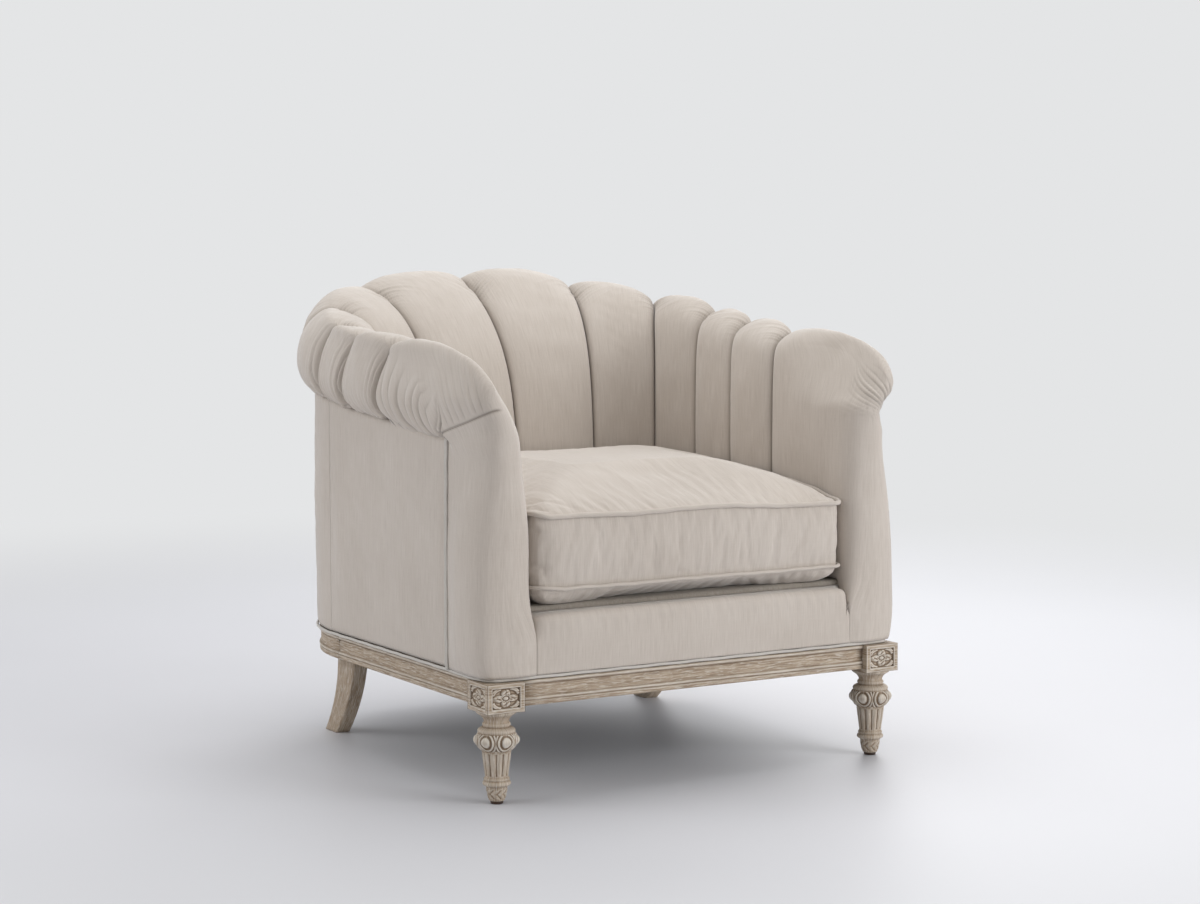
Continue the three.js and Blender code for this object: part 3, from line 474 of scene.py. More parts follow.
def limed_look(name):
    """Limed oak: grey-brown grain lines along the wood, white wax in its pores, painted shade in the hollows
    of carving and moulding and a painted highlight on their ridges.
    """
    look = Look(name, Specular_IOR_Level=0.3)
    place = look.add("UVMap", uv_map="weave").outputs[0]
    world = look.add("TexCoord").outputs["Object"]
    bend = look.noise(place, (9, 30, 1), detail=2)
    shifted = look.add("VectorMath", operation="ADD")
    look.feed(shifted.inputs[0], place)
    look.feed(shifted.inputs[1], look.scaled(bend, (0.0, 0.012, 0)))
    grain = look.noise(shifted.outputs[0], (16, 330, 1), detail=5, rough=0.64)
    pores = look.noise(shifted.outputs[0], (46, 620, 1), detail=3, rough=0.6)
    bands = look.noise(shifted.outputs[0], (3, 70, 1), detail=2)
    patch = look.noise(world, (9, 9, 9), detail=3)
    wood = look.ramp(grain, (0.32, linear(120, 101, 82)), (0.5, linear(171, 153, 133)),
                     (0.66, linear(198, 184, 166)))
    wood = look.mix(look.sum("MULTIPLY", bands, 0.4), wood, linear(150, 132, 112))
    waxed = look.ramp(pores, (0.52, 0.0), (0.62, 1.0))
    colour = look.mix(look.sum("MULTIPLY", waxed, 0.62), wood, linear(216, 210, 200))
    # Painted shade: the hollows of the carving and the grooves of the moulding go dark brown
    hollow_shade = look.add("Attribute", attribute_name="hollow_shade").outputs["Fac"]
    ridge = look.add("Attribute", attribute_name="ridge").outputs["Fac"]
    colour = look.mix(look.sum("MULTIPLY", hollow_shade, 0.8), colour, linear(104, 84, 64))
    # Painted highlight: ridges and beads go pale, more in some patches than in others
    left = look.sum("ADD", look.sum("MULTIPLY", patch, 0.9), 0.15)
    colour = look.mix(look.sum("MULTIPLY", ridge, left, clamp=True), colour, linear(226, 221, 212))
    rough = look.sum("ADD", look.sum("MULTIPLY", grain, 0.25), 0.5)
    height = look.sum("ADD", look.sum("MULTIPLY", grain, 0.7), look.sum("MULTIPLY", pores, -0.8))
    return look.done(colour, rough, look.bump(height, 0.0006, 0.5))


def plain_wood_look(name):
    look = Look(name, Specular_IOR_Level=0.3)
    world = look.add("TexCoord").outputs["Object"]
    grain = look.noise(world, (8, 90, 90), detail=5, rough=0.6)
    colour = look.ramp(grain, (0.3, linear(170, 132, 88)), (0.7, linear(216, 184, 138)))
    rough = look.sum("ADD", look.sum("MULTIPLY", grain, 0.2), 0.6)
    return look.done(colour, rough, look.bump(grain, 0.0004, 0.4))


def coarse_cloth_look(name, dark, light, thread):
    look = Look(name, Specular_IOR_Level=0.15)
    world = look.add("TexCoord").outputs["Object"]
    split = look.add("SeparateXYZ")
    look.feed(split.inputs[0], world)
    turn = 2 * math.pi / thread
    across = look.sum("ADD", split.outputs[0], split.outputs[1])
    upright = look.sum("SUBTRACT", split.outputs[2], split.outputs[1])
    first, second = (look.sum("SINE", look.sum("MULTIPLY", way, turn)) for way in (across, upright))
    weave = look.sum("ADD", look.sum("MULTIPLY", look.sum("MULTIPLY", first, second), 0.5), 0.5)
    uneven = look.noise(world, (300, 300, 60), detail=3)
    height = look.sum("ADD", look.sum("MULTIPLY", weave, 0.6), look.sum("MULTIPLY", uneven, 0.4))
    colour = look.ramp(height, (0.2, dark), (0.8, light))
    rough = look.sum("ADD", look.sum("MULTIPLY", uneven, 0.15), 0.8)
    return look.done(colour, rough, look.bump(height, 0.0004, 0.6))


def foam_look(name):
    look = Look(name, Specular_IOR_Level=0.1)
    world = look.add("TexCoord").outputs["Object"]
    cells = look.add("TexVoronoi")
    look.feed(cells.inputs["Vector"], world)
    cells.inputs["Scale"].default_value = 420
    colour = look.ramp(cells.outputs["Distance"], (0.1, linear(196, 184, 150)), (0.7, linear(236, 228, 202)))
    return look.done(colour, look.sum("ADD", look.sum("MULTIPLY", cells.outputs["Distance"], 0.1), 0.85),
                     look.bump(cells.outputs["Distance"], 0.0006, 0.6))


def metal_look(name):
    look = Look(name, Metallic=1.0)
    world = look.add("TexCoord").outputs["Object"]
    marks = look.noise(world, (60, 60, 60), detail=5)
    colour = look.ramp(marks, (0.3, linear(110, 112, 114)), (0.7, linear(158, 160, 162)))
    rough = look.sum("ADD", look.sum("MULTIPLY", marks, 0.3), 0.3)
    return look.done(colour, rough, look.bump(marks, 0.0002, 0.3))


def glide_look(name):
    look = Look(name, Specular_IOR_Level=0.4)
    world = look.add("TexCoord").outputs["Object"]
    marks = look.noise(world, (160, 160, 160), detail=4)
    colour = look.ramp(marks, (0.3, linear(48, 33, 23)), (0.7, linear(78, 58, 44)))
    rough = look.sum("ADD", look.sum("MULTIPLY", marks, 0.3), 0.35)
    return look.done(colour, rough, look.bump(marks, 0.0002, 0.4))


FABRIC = cloth_look("upholstery", linear(197, 188, 179), linear(182, 172, 162), linear(209, 201, 193))
WELT = cloth_look("welt_cloth", linear(200, 196, 190), linear(178, 173, 166), linear(214, 210, 204),
                  thread=0.0009, slub=0.8)
DECK = cloth_look("deck_twill", linear(150, 143, 134), linear(126, 119, 110), linear(170, 163, 154),
                  thread=0.0014, sheen=0.1)
OAK = limed_look("limed_oak")
FRAME_WOOD = plain_wood_look("frame_wood")
BURLAP = coarse_cloth_look("burlap", linear(120, 98, 68), linear(178, 154, 116), 0.0022)
BLACK_CLOTH = coarse_cloth_look("black_cloth", linear(20, 20, 21), linear(44, 44, 46), 0.0012)
FOAM = foam_look("foam")
STEEL = metal_look("spring_steel")
GLIDE = glide_look("glide")


# Camera, floor and light

def add_camera():
    azimuth, pitch, roll = (math.radians(v) for v in (-30.766, 5.026, -0.097))
    level = math.cos(pitch)
    back = Vector((math.sin(azimuth) * level, -math.cos(azimuth) * level, math.sin(pitch)))
    right = (-back).cross(Vector((0, 0, 1))).normalized()
    up = right.cross(-back)
    right, up = right * math.cos(roll) + up * math.sin(roll), up * math.cos(roll) - right * math.sin(roll)
    data = bpy.data.cameras.new("camera")
    data.sensor_width, data.lens, data.sensor_fit = 36, 77.436, "HORIZONTAL"
    data.clip_start, data.clip_end = 0.1, 100
    camera = bpy.data.objects.new("camera", data)
    turn = Matrix((right, up, back)).transposed().to_4x4()
    camera.matrix_world = Matrix.Translation((-2.454, -4.2545, 0.980)) @ turn
    scene.collection.objects.link(camera)
    scene.camera = camera


def area_light(name, place, target, size, power, colour=(1, 1, 1)):
    data = bpy.data.lights.new(name, "AREA")
    data.shape, data.size, data.size_y = "RECTANGLE", *size
    data.energy, data.color = power, colour
    light = bpy.data.objects.new(name, data)
    light.location = place
    light.rotation_euler = (Vector(target) - Vector(place)).to_track_quat("-Z", "Y").to_euler()
    scene.collection.objects.link(light)


def show_pale_wall(look, place):
    """Away from the chair the floor and backdrop look plain and pale, also in reflections."""
    away = look.add("VectorMath", operation="LENGTH")
    look.feed(away.inputs[0], place)
    far = look.add("MapRange", interpolation_type="SMOOTHSTEP")
    look.feed(far.inputs["Value"], away.outputs["Value"])
    far.inputs["From Min"].default_value, far.inputs["From Max"].default_value = 1.0, 3.6
    rays = look.add("LightPath").outputs
    seen = look.sum("MAXIMUM", rays["Is Camera Ray"], rays["Is Glossy Ray"])
    seen = look.sum("MAXIMUM", seen, rays["Is Transmission Ray"])
    glow = look.add("Emission")
    glow.inputs["Color"].default_value = (*linear(228, 229, 230), 1)
    mixed = look.add("MixShader")
    look.feed(mixed.inputs[0], look.sum("MULTIPLY", seen, far.outputs["Result"]))
    look.feed(mixed.inputs[1], look.shader.outputs[0])
    look.feed(mixed.inputs[2], glow.outputs[0])
    output = next(n for n in look.tree.nodes if n.type == "OUTPUT_MATERIAL")
    look.feed(output.inputs["Surface"], mixed.outputs[0])


def add_stage():
    floor_look = Look("floor_paint", Specular_IOR_Level=0.25)
    world = floor_look.add("TexCoord").outputs["Object"]
    cloudy = floor_look.noise(world, (0.8, 0.8, 0.8), detail=2)
    tint = floor_look.ramp(cloudy, (0.3, linear(207, 208, 213)), (0.7, linear(211, 212, 217)))
    floor_look.done(tint, floor_look.sum("ADD", floor_look.sum("MULTIPLY", cloudy, 0.1), 0.45))
    show_pale_wall(floor_look, world)
    profile = [(-60.0, 0.0)] + [(4.2 + 1.6 * math.sin(a), 1.6 - 1.6 * math.cos(a))
                               for a in np.linspace(0, math.pi / 2, 24)] + [(5.8, 7.0)]
    p = np.array([[[x, y, z] for x in (-60.0, 60.0)] for y, z in profile])
    floor = grid("floor", p, floor_look.material, closed=False)
    turned = math.radians(-30.766)
    floor.matrix_world = Matrix.Rotation(turned, 4, "Z") @ Matrix.Translation((0, -FRONT, 0))
    world_data = bpy.data.worlds.new("studio")
    world_data.use_nodes = True
    background = world_data.node_tree.nodes["Background"]
    background.inputs["Color"].default_value = (1.0, 0.985, 0.965, 1)
    background.inputs["Strength"].default_value = 0.47
    scene.world = world_data
    middle = (0, 0, 0.45)
    area_light("window", (3.2, 2.6, 2.4), middle, (2.5, 2.5), 66)
    area_light("front", (2.4, -4.0, 1.6), middle, (2.5, 2.5), 100)
    area_light("side", (-4.0, 1.0, 2.0), middle, (3.0, 2.6), 54)
    area_light("top", (0.4, 0.6, 3.8), middle, (3.2, 3.2), 68)
    scene.view_settings.view_transform = "Standard"


# Stuffed channels

def run_rows(count=170):
    """Places along a channel's run, closer together from just before the crest on."""
    share = np.linspace(0, 1, count)
    return np.interp(share, [0, 0.25, 0.8, 1], [0, 0.42, 0.8, 1])


def folded_under(p, inward):
    """Adds the rows that turn a channel's end in under the roll."""
    extra = [p[-1] + inward * reach + np.array([0, 0, -drop])
             for reach, drop in ((0.002, 0.0035), (0.006, 0.0052), (0.011, 0.0045), (0.016, 0.002))]
    return np.concatenate([p, np.array(extra)])


def crest_out(p, run):
    """Moves an arm's crest out over its outer side, up to the bend of the back."""
    x, y = p[..., 0], p[..., 1]
    p[..., 0] -= 0.032 * hump(run, 0.605, 0.09) * step(y, 0.78, 0.5) * step(x, -0.2, -0.3)
    return p


def channel(number, side, columns=75):
    run = run_rows()[:, None]
    c = np.linspace(0, 1, columns)
    c = 0.45 * c + 0.55 * (1 - np.cos(math.pi * c)) / 2
    base = wall_point(number, run[:, 0]) - wall_point(number + 1, run[:, 0])
    width = np.linalg.norm(base, axis=-1)[:, None]
    edge = 0.00025 / width
    seam = number + edge + (1 - 2 * edge) * c[None]
    swell = spline(FULLNESS, run) * np.minimum(width, 0.2)
    shape = (1 - np.abs(2 * c[None] - 1) ** 2.3) ** 0.62
    away = np.minimum(c, 1 - c)[None] * width
    height = swell * shape - 0.005 * np.exp(-away / 0.003)
    flat = raised(seam, run, np.zeros(seam.shape))
    key = number + (10 if side > 0 else 0)
    # Gathers on the outer roll, most of them just behind the channel's front seam, with painted shade in
    # their valleys
    outer = step(run, 0.6, 0.86)
    near = c[None] * width
    bow = 0.016 * np.sin(math.pi * np.clip((run - 0.62) / 0.38, 0, 1))
    phase = (near - bow) / 0.0125 + 0.5 * np.sin(run * 8 + 2 * key)
    beside = outer * np.exp(-(near / 0.031) ** 2) * step(near, 0.0, 0.008)
    height = height + 0.0125 * ridge(phase, key) * beside
    dark = 0.55 * fold_valley_shade(phase) * beside
    far = (1 - c[None]) * width
    ahead = ridge(far / 0.012 + 0.3 * np.sin(run * 11 + 2 * key), key + 3)
    height = height + 0.0052 * outer * ahead * np.exp(-(far / 0.024) ** 2) * step(far, 0.0, 0.008)
    middle = ridge(c[None] * 9 + 0.8 * np.sin(run * 6 + key), key + 5)
    height = height + 0.0040 * step(run, 0.76, 1.0) * middle * shape
    # Short puckers where the seams go over the crest, with painted shade in their valleys
    crest = hump(run, CREST_AT - 0.02, 0.06)
    for phase, off in ((70 * (run - 0.4) + 80 * near + key, near), (60 * (run - 0.4) - 70 * far + key, far)):
        drawn = crest * np.exp(-off / 0.03) * step(off, 0.0, 0.004)
        height = height + 0.0090 * (ridge(phase, key + 7) - 1) * drawn
        dark = dark + fold_valley_shade(phase) * drawn * np.exp(-off / 0.03)
    lift = CREST_LIFT[side][number - 1]
    height = height + lift * np.exp(-((run - CREST_AT) / 0.13) ** 2) * shape
    height = height + 0.0011 * wobble(flat * mirror_sign(side), 0.055, number) * shape
    height = height + 0.0005 * wobble(flat, 0.02, number + 3) * shape
    front = raised(seam, run, height)
    backs = [raised(number + s * np.ones(run.shape), run, np.full(run.shape, -PAD))
             for s in (1 - 0.002, 0.5, 0.002)]
    ring = np.concatenate([front] + backs, 1)
    inward = wall_point(number + 0.5, 1.0)
    inward = np.array([*(plan_point(BASE, seam_share(OUTER_SHARES, number + 0.5), -0.05) - inward[:2]), 0])
    ring = folded_under(ring, inward / np.linalg.norm(inward))
    ring[:len(run)] = crest_out(ring[:len(run)], run)
    # Painted shade along the channel's seams and in the valleys of its gathers and puckers
    seams = np.zeros(ring.shape[:2])
    seams[:len(run), :columns] = np.maximum(np.exp(-away / 0.0016), dark)
    return (mirror(ring) if side > 0 else ring), seams


def mirror_sign(side):
    return np.array([1.0, 1.0, 1.0]) if side < 0 else np.array([1.0, -1.0, 1.0])


# How much higher each channel's crest stands on the left (-1) and on the right (1)
CREST_LIFT = {-1: (0.001, -0.007, -0.009, 0.000, 0.006), 1: (0.007, 0.011, 0.009, 0.004, 0.011)}
CHANNELS = ("arm_channel_1", "arm_channel_2", "corner_channel", "back_channel_1", "back_channel_2")
SIDES = (("left", -1), ("right", 1))


def add_channels():
    for k, kind in enumerate(CHANNELS):
        for name, side in SIDES:
            p, seams = channel(k + 1, side)
            obj = grid(f"stuffed_{kind}_{name}", p, FABRIC, wrap=True, caps=True)
            # The seam attribute holds painted shade for the seams and the fold valleys
            set_values(obj, "seam", seams)
            also = [f"roll_foam_{name}"] if k == 0 else []
            finish_piece(obj, [f"{kind}_{name}"] + also)


# Base

def sweep_rail(name, path, replaced, flip=1):
    """The rail's moulding, in millimetres out and down, run along level points."""
    section = np.array([
        [-60, 0], [-30, 0], [-8, 0], [-3.4, 0.1], [-1.5, 0.6], [-0.4, 1.7], [0, 3.2], [-0.3, 4.8],
        [-1.2, 6.0],
        [-2.4, 6.5], [-3.1, 7.0], [-3.3, 7.8], [-3.4, 9], [-3.4, 13], [-3.4, 18], [-3.4, 23], [-3.4, 27.2],
        [-3.3, 28.4], [-2.9, 29.0], [-1.6, 29.4], [-0.6, 30.3], [-0.1, 31.8], [-0.4, 33.3], [-1.5, 34.4],
        [-2.5, 34.9], [-2.6, 35.6], [-1.6, 36.1], [-1.2, 36.8], [-1.2, 39], [-1.2, 42], [-1.6, 43.3],
        [-2.9, 44], [-8, 44], [-30, 44], [-60, 44], [-60, 22]]) / 1000
    path = np.asarray(path, float)
    ahead = np.gradient(path, axis=0)
    ahead /= np.linalg.norm(ahead, axis=1, keepdims=True)
    out = np.stack([-ahead[:, 1], ahead[:, 0]], -1) * flip
    plan = path[:, None] + out[:, None] * section[None, :, :1]
    z = np.broadcast_to(RAIL_TOP - section[None, :, 1:], plan.shape[:2] + (1,))
    p = np.concatenate([plan, z], -1)
    lengths = np.concatenate([[0], np.cumsum(np.linalg.norm(np.diff(path, axis=0), axis=1))])
    girth = np.linalg.norm(np.diff(np.concatenate([section, section[:1]]), axis=0), axis=1)
    girth = np.concatenate([[0], np.cumsum(girth)])
    weave = np.stack(np.meshgrid(girth, lengths), -1)[..., ::-1]
    obj = grid(name, p, OAK, wrap=True, caps=True, weave=weave)
    down = section[:, 1]
    # Painted highlight on the tops of the beads and painted shade in the grooves beside them
    bead_highlight = 0.9 * hump(down, 0.0032, 0.0017) + hump(down, 0.0316, 0.0014) + 0.5 * hump(down, 0.037, 0.001)
    dark = hump(down, 0.0074, 0.001) + 0.6 * hump(down, 0.0286, 0.0007) + 0.9 * hump(down, 0.0352, 0.0006)
    set_values(obj, "ridge", np.tile(bead_highlight, len(path)))
    set_values(obj, "hollow_shade", np.tile(dark, len(path)))
    finish_piece(obj, [replaced])


def rear_bend(plan, grow, count=60):
    half, back, radius = plan
    a = np.linspace(0, math.pi / 2, count)
    r = radius + grow
    return np.stack([radius - half - r * np.cos(a), back - radius + r * np.sin(a)], -1)


def add_rails():
    inner_x = 0.3576 - RAIL_GAP
    straight = np.linspace(0, 1, 24)[:, None]
    ends = np.array([[[-inner_x, 0.01]], [[inner_x, 0.01]]])
    sweep_rail("base_rail_front", ends[0] * (1 - straight) + ends[1] * straight, "front_rail", flip=-1)
    low, high = 0.0727, 0.61 - RAIL_GAP
    for name, side in SIDES:
        path = np.array([[side * 0.42, low]]) * (1 - straight) + np.array([[side * 0.42, high]]) * straight
        sweep_rail(f"base_rail_{name}", path, f"{name}_rail", flip=1 if side < 0 else -1)
    bend = rear_bend(BASE, 0)
    left = np.concatenate([[[-0.42, 0.61]], bend])
    middle = np.linspace(left[-1], left[-1] * [-1, 1], 14)[1:-1]
    path = np.concatenate([left, middle, (left * [-1, 1])[::-1]])
    sweep_rail("base_rail_back", path, "back_rail", flip=1)


def relief(u, v):
    """Depth of the carving in a corner block's sunk panel; u and v run from -1 to 1 over it."""
    frame_edge = np.maximum(np.abs(u), np.abs(v))
    sunk = step(frame_edge, 0.98, 0.93)
    r, a = np.hypot(u, v), np.arctan2(v, u)
    petal = np.abs(np.cos(2 * a))
    leaf = step(r, 0.30 + 0.62 * petal ** 0.6, 0.18 + 0.5 * petal ** 0.6) * step(r, 0.2, 0.3)
    vein = 1 - 0.55 * np.exp(-(np.abs(np.sin(2 * a)) * r / 0.05) ** 2)
    ribs = 0.82 + 0.18 * np.cos(18 * r + 3 * np.sin(4 * a))
    diagonal = np.abs(np.sin(2 * a))
    tips = step(np.abs(r - 0.92 - 0.1 * diagonal), 0.2, 0.08) * step(diagonal, 0.55, 0.8)
    boss = np.sqrt(np.clip(1 - (r / 0.2) ** 2, 0, 1))
    height = np.maximum.reduce([leaf * vein * ribs, 0.8 * tips, boss])
    bead = np.exp(-((frame_edge - 0.99) / 0.03) ** 2)
    return -0.0042 * sunk + 0.0036 * sunk * height + 0.0006 * bead


def block_face(side_a, normal, count_u=110, count_v=80):
    """A face of the corner block with its carved panel, as a grid round the block's middle."""
    half, low, high = 0.0362, 0.16, 0.211
    s = np.linspace(-half, half, count_u)
    z = np.linspace(low, high, count_v)
    ss, zz = np.meshgrid(s, z)
    u = ss / (half - 0.0085)
    v = (zz - (low + high) / 2) / ((high - low) / 2 - 0.0072)
    depth = relief(u, v)
    edge = np.minimum(half - np.abs(ss), np.minimum(zz - low, high - zz))
    depth = depth - 0.0012 * (1 - step(edge, 0, 0.0014))
    p = np.zeros(ss.shape + (3,))
    p += ss[..., None] * np.array(side_a) + (half + depth)[..., None] * np.array(normal)
    p[..., 2] = zz
    return p


def turned_profile():
    table = np.array([
        [160.4, 35.0], [158.8, 35.3], [157.0, 34.6], [155.2, 32.4], [153.4, 29.4], [151.4, 26.6],
        [149, 24.4],
        [146.6, 22.8], [144, 21.9], [141.6, 21.6], [140.6, 22.2], [139.4, 23.6], [137.8, 24.2], [136.0, 24.2],
        [134.6, 23.4], [133.6, 22.4], [132.8, 23.0], [132.0, 26.4],
        [130.4, 29.6], [128.4, 31.8], [126.6, 32.5],
        [124.9, 32.3], [123.6, 31.4], [122.9, 31.0], [120.6, 33.2], [117, 35.4], [113, 36.8], [109.5, 37.0],
        [106, 36.2], [101.5, 33.8], [97, 30.4], [93.4, 27.2], [91.2, 25.4],
        [89.4, 25.1], [86, 24.8], [80, 24.1],
        [72, 23.0], [64, 21.9], [56, 20.8], [50.5, 20.2], [47.2, 20.0], [46.0, 20.3], [45.1, 21.4],
        [43.7, 22.2],
        [42.1, 22.1], [41.0, 21.3], [40.3, 21.0], [39.5, 22.2], [38.0, 23.7], [36.0, 24.3], [34.0, 24.0],
        [32.4, 22.6], [31.2, 20.4], [30.2, 18.8], [28.6, 18.2], [26.6, 18.0], [23, 17.5], [18, 16.6],
        [13, 15.4],
        [9, 14.4], [6.6, 13.7], [5.6, 12.8], [5.3, 11.8]]) / 1000
    z = np.linspace(0, 1, 330)
    return spline(table, z)


def leg_relief(z, a):
    """Carving on the turning: teardrops and leaves on the bulb, reeds on the taper, a leafy foot."""
    total = np.zeros(np.broadcast(z, a).shape)
    u = np.mod(a * 6 / (2 * math.pi), 1) * 2 - 1
    v = (z - 0.0925) / 0.0305
    band = step(v, 0.0, 0.09) * step(v, 1.0, 0.93)
    d = np.sqrt((u / 0.46) ** 2 + ((v - 0.56) / 0.3) ** 2)
    drop = np.sqrt(np.clip(1 - d ** 2, 0, 1))
    rings = np.cos((d - 1.0) * 2 * math.pi / 0.62) * step(d, 0.9, 1.1)
    valley = np.exp(-((d - 1.08) / 0.13) ** 2)
    edge = np.exp(-((1 - np.abs(u)) / 0.07) ** 2)
    total = total + band * (0.0026 * drop - 0.0018 * valley + 0.0012 * rings - 0.0018 * edge)
    reed = np.abs(np.sin(a * 6))
    w = step(z, 0.0478, 0.0515) * step(z, 0.0905, 0.0865)
    total = total + w * (-0.0026 + 0.0030 * reed ** 0.6)
    foot = step(z, 0.0085, 0.011) * step(z, 0.0265, 0.0245)
    leaf = np.abs(np.sin(a * 4 + 0.9 * np.abs(np.mod(z * 110, 2) - 1) * 2))
    total = total + foot * (-0.0012 + 0.0018 * leaf ** 0.8)
    return total


def add_front_legs():
    profile = turned_profile()
    z, r = profile[:, :1], profile[:, 1:]
    a = np.linspace(0, 2 * math.pi, 217)[:-1][None]
    radius = r + leg_relief(z, a)
    p = np.stack([radius * np.cos(a), radius * np.sin(a), np.broadcast_to(z, radius.shape)], -1)
    around = np.stack([np.cos(a), np.sin(a), 0 * a], -1)
    # Grain stands upright in the turning and lies along the rail in the block
    girth = np.linspace(0, 2 * math.pi * 0.028, 217)
    upright = np.stack(np.meshgrid(girth, profile[:, 0]), -1)[..., ::-1]
    for name, side in SIDES:
        centre = np.array([side * 0.3938, 0.0362, 0])
        turning = grid(f"leg_turning_{name}", p + centre, OAK, wrap=True, caps=True, weave=upright)
        # Painted highlight on the turning's ridges and painted shade in its hollows
        carving_highlight_and_shade(turning, stands_out(p, around, 8, True), 0.00045)
        pieces = [turning]
        for k, (along, out) in enumerate((((1, 0, 0), (0, -1, 0)), ((0, -side, 0), (side, 0, 0)))):
            face = block_face(along, out)
            weave = block_weave(face, k)
            carved = grid(f"block_face_{k}_{name}", face + centre, OAK, closed=False, weave=weave)
            # Painted highlight on the carving's ridges and painted shade in its hollows
            carving_highlight_and_shade(carved, stands_out(face, np.array(out), 8))
            pieces.append(carved)
        for k, (along, out) in enumerate((((-1, 0, 0), (0, 1, 0)), ((0, side, 0), (-side, 0, 0)))):
            flat = block_face(along, out, 4, 4)
            flat[..., 1 - k] = 0.0360 * out[1 - k]
            weave = block_weave(flat, k)
            pieces.append(grid(f"block_rear_{k}_{name}", flat + centre, OAK, closed=False, weave=weave))
        for level in (0.16, 0.211):
            s = np.linspace(-0.035, 0.035, 3)
            ss, tt = np.meshgrid(s, s)
            lid = np.stack([ss, tt, np.full(ss.shape, level)], -1)
            pieces.append(grid(f"block_lid_{int(level * 1000)}_{name}", lid + centre, OAK, closed=False,
                               weave=np.stack([ss, tt], -1)))
        obj = join(f"carved_leg_{name}", pieces)
        merge_edges(obj)
        finish_piece(obj, [f"front_leg_{name}"])
        glide(name, centre)


def block_weave(face, k):
    along = face[..., 0] if k == 0 else face[..., 1]
    return np.stack([along + 0.3, face[..., 2] + 0.2], -1)


def join(name, pieces):
    """One object from several, whose materials are the same."""
    with bpy.context.temp_override(active_object=pieces[0], selected_editable_objects=pieces):
        bpy.ops.object.join()
    pieces[0].name = name
    pieces[0].data.name = name
    return pieces[0]


def merge_edges(obj):
    """Joins the points of faces that meet and turns all faces outwards."""
    made = bmesh.new()
    made.from_mesh(obj.data)
    bmesh.ops.remove_doubles(made, verts=made.verts, dist=0.00005)
    bmesh.ops.recalc_face_normals(made, faces=made.faces)
    made.to_mesh(obj.data)
    made.free()


def glide(name, centre):
    table = np.array([[0.0, 8.6], [0.25, 10.2], [0.9, 10.9], [2.6, 11.0], [4.3, 11.0], [4.9, 10.6]]) / 1000
    a = np.linspace(0, 2 * math.pi, 49)[:-1][None]
    z, r = table[:, :1], table[:, 1:]
    p = np.stack([r * np.cos(a), r * np.sin(a), np.broadcast_to(z, (len(table), 48))], -1)
    obj = grid(f"foot_glide_{name}", p + centre, GLIDE, wrap=True, caps=True)
    finish_piece(obj, [f"front_glide_{name}"])


def add_rear_legs():
    for name, side in SIDES:
        rows = []
        angle = np.linspace(0, 2 * math.pi, 49)[:-1]
        for down in np.linspace(0, 1, 40):
            swept = down + (down * down - down) * 0.65
            x = side * (0.42 - (0.052 + 0.015 * down))
            y = 0.93 - (0.273 + (0.168 - 0.273) * swept)
            half_x, half_y = (0.033 - 0.003 * down) / 2, (0.075 - 0.022 * down) / 2
            power = 0.22
            cx, cy = np.cos(angle), np.sin(angle)
            ring_x = half_x * np.sign(cx) * np.abs(cx) ** power
            ring_y = half_y * np.sign(cy) * np.abs(cy) ** power
            z = (RAIL_LOW - 0.0003) * (1 - down)
            rows.append(np.stack([x + ring_x, y + ring_y, np.full(48, z)], -1))
        p = np.array(rows)
        weave = metres(p, True)[..., ::-1]
        obj = grid(f"sabre_leg_{name}", p, OAK, wrap=True, caps=True, weave=weave)
        finish_piece(obj, [f"rear_leg_{name}"])


# Arm fronts

# How far the round front end of an arm reaches along y, and how deep it is, up the run
NOSE_REACH = np.array([30, 38, 45, 48, 58, 92, 150, 205, 190, 150, 110, 78, 55]) / 1000
NOSE_DEPTH = np.array([28, 32, 34, 35, 37, 42, 50, 56, 52, 44, 34, 26, 20]) / 1000
NOSE_DROP = 0.074


def row_lengths(run):
    return np.linalg.norm(wall_point(0, run) - wall_point(1, run), axis=-1)


def arm_side(run, end, columns, arc, shrink=1.0):
    """Rows from seam 1 forward over an arm's side and round its nose to the end of each row."""
    run = np.atleast_1d(run)[:, None]
    length = row_lengths(run[:, 0])[:, None]
    swell = front_swell(run)
    start = (spline(NOSE_REACH, run) * shrink + 0.0015 * (1 - shrink)) / length
    c = 1 - closer(np.linspace(0, 1, columns))[None]
    seam = start + (1 - 0.00025 / length - start) * c
    height = swell * (1 - c ** 4) ** 0.7 - 0.005 * np.exp(-(1 - c) * length / 0.003)
    a = np.linspace(math.pi / 2, 0, arc + 1)[1:][None]
    nose = raised(start * (1 - np.cos(a)), run, swell + 0 * a)
    pull = (end - raised(np.zeros(run.shape), run, swell)[:, 0])[:, None]
    return np.concatenate([raised(seam, run, height), nose + pull * (1 - np.sin(a))[..., None]], 1)


def front_swell(run):
    return spline(FULLNESS, run) * 0.15


def closer(share):
    """Shares from 0 to 1 whose steps shrink towards 1, where the folds are fine."""
    return 1 - (0.45 * (1 - share) + 0.55 * (1 - share) ** 2)


def outer_bulge(z):
    return step(z, 0.20, 0.245) * step(z, 0.62, 0.36)


def nose_ends(inner_run, outer_run):
    """Where the rows of both sides end on the flat of the nose, which narrows to its top."""
    zero = np.zeros(len(inner_run))
    inside = raised(zero, inner_run, front_swell(inner_run))
    outside = raised(zero, outer_run, front_swell(outer_run))
    middle = (inside + outside) / 2
    rise = np.clip((middle[:, 2] - middle[0, 2]) / (middle[-1, 2] - middle[0, 2]), 0, 1)
    lowered = middle - np.array([0, 0, NOSE_DROP]) * (rise ** 2)[:, None]
    half = np.linalg.norm(inside - outside, axis=1) / 2
    half = np.maximum(half, 1e-6)
    keep = [1 - np.clip(spline(NOSE_DEPTH, run) / half, 0, 0.7) for run in (inner_run, outer_run)]
    return (lowered + (inside - middle) * keep[0][:, None], lowered + (outside - middle) * keep[1][:, None])


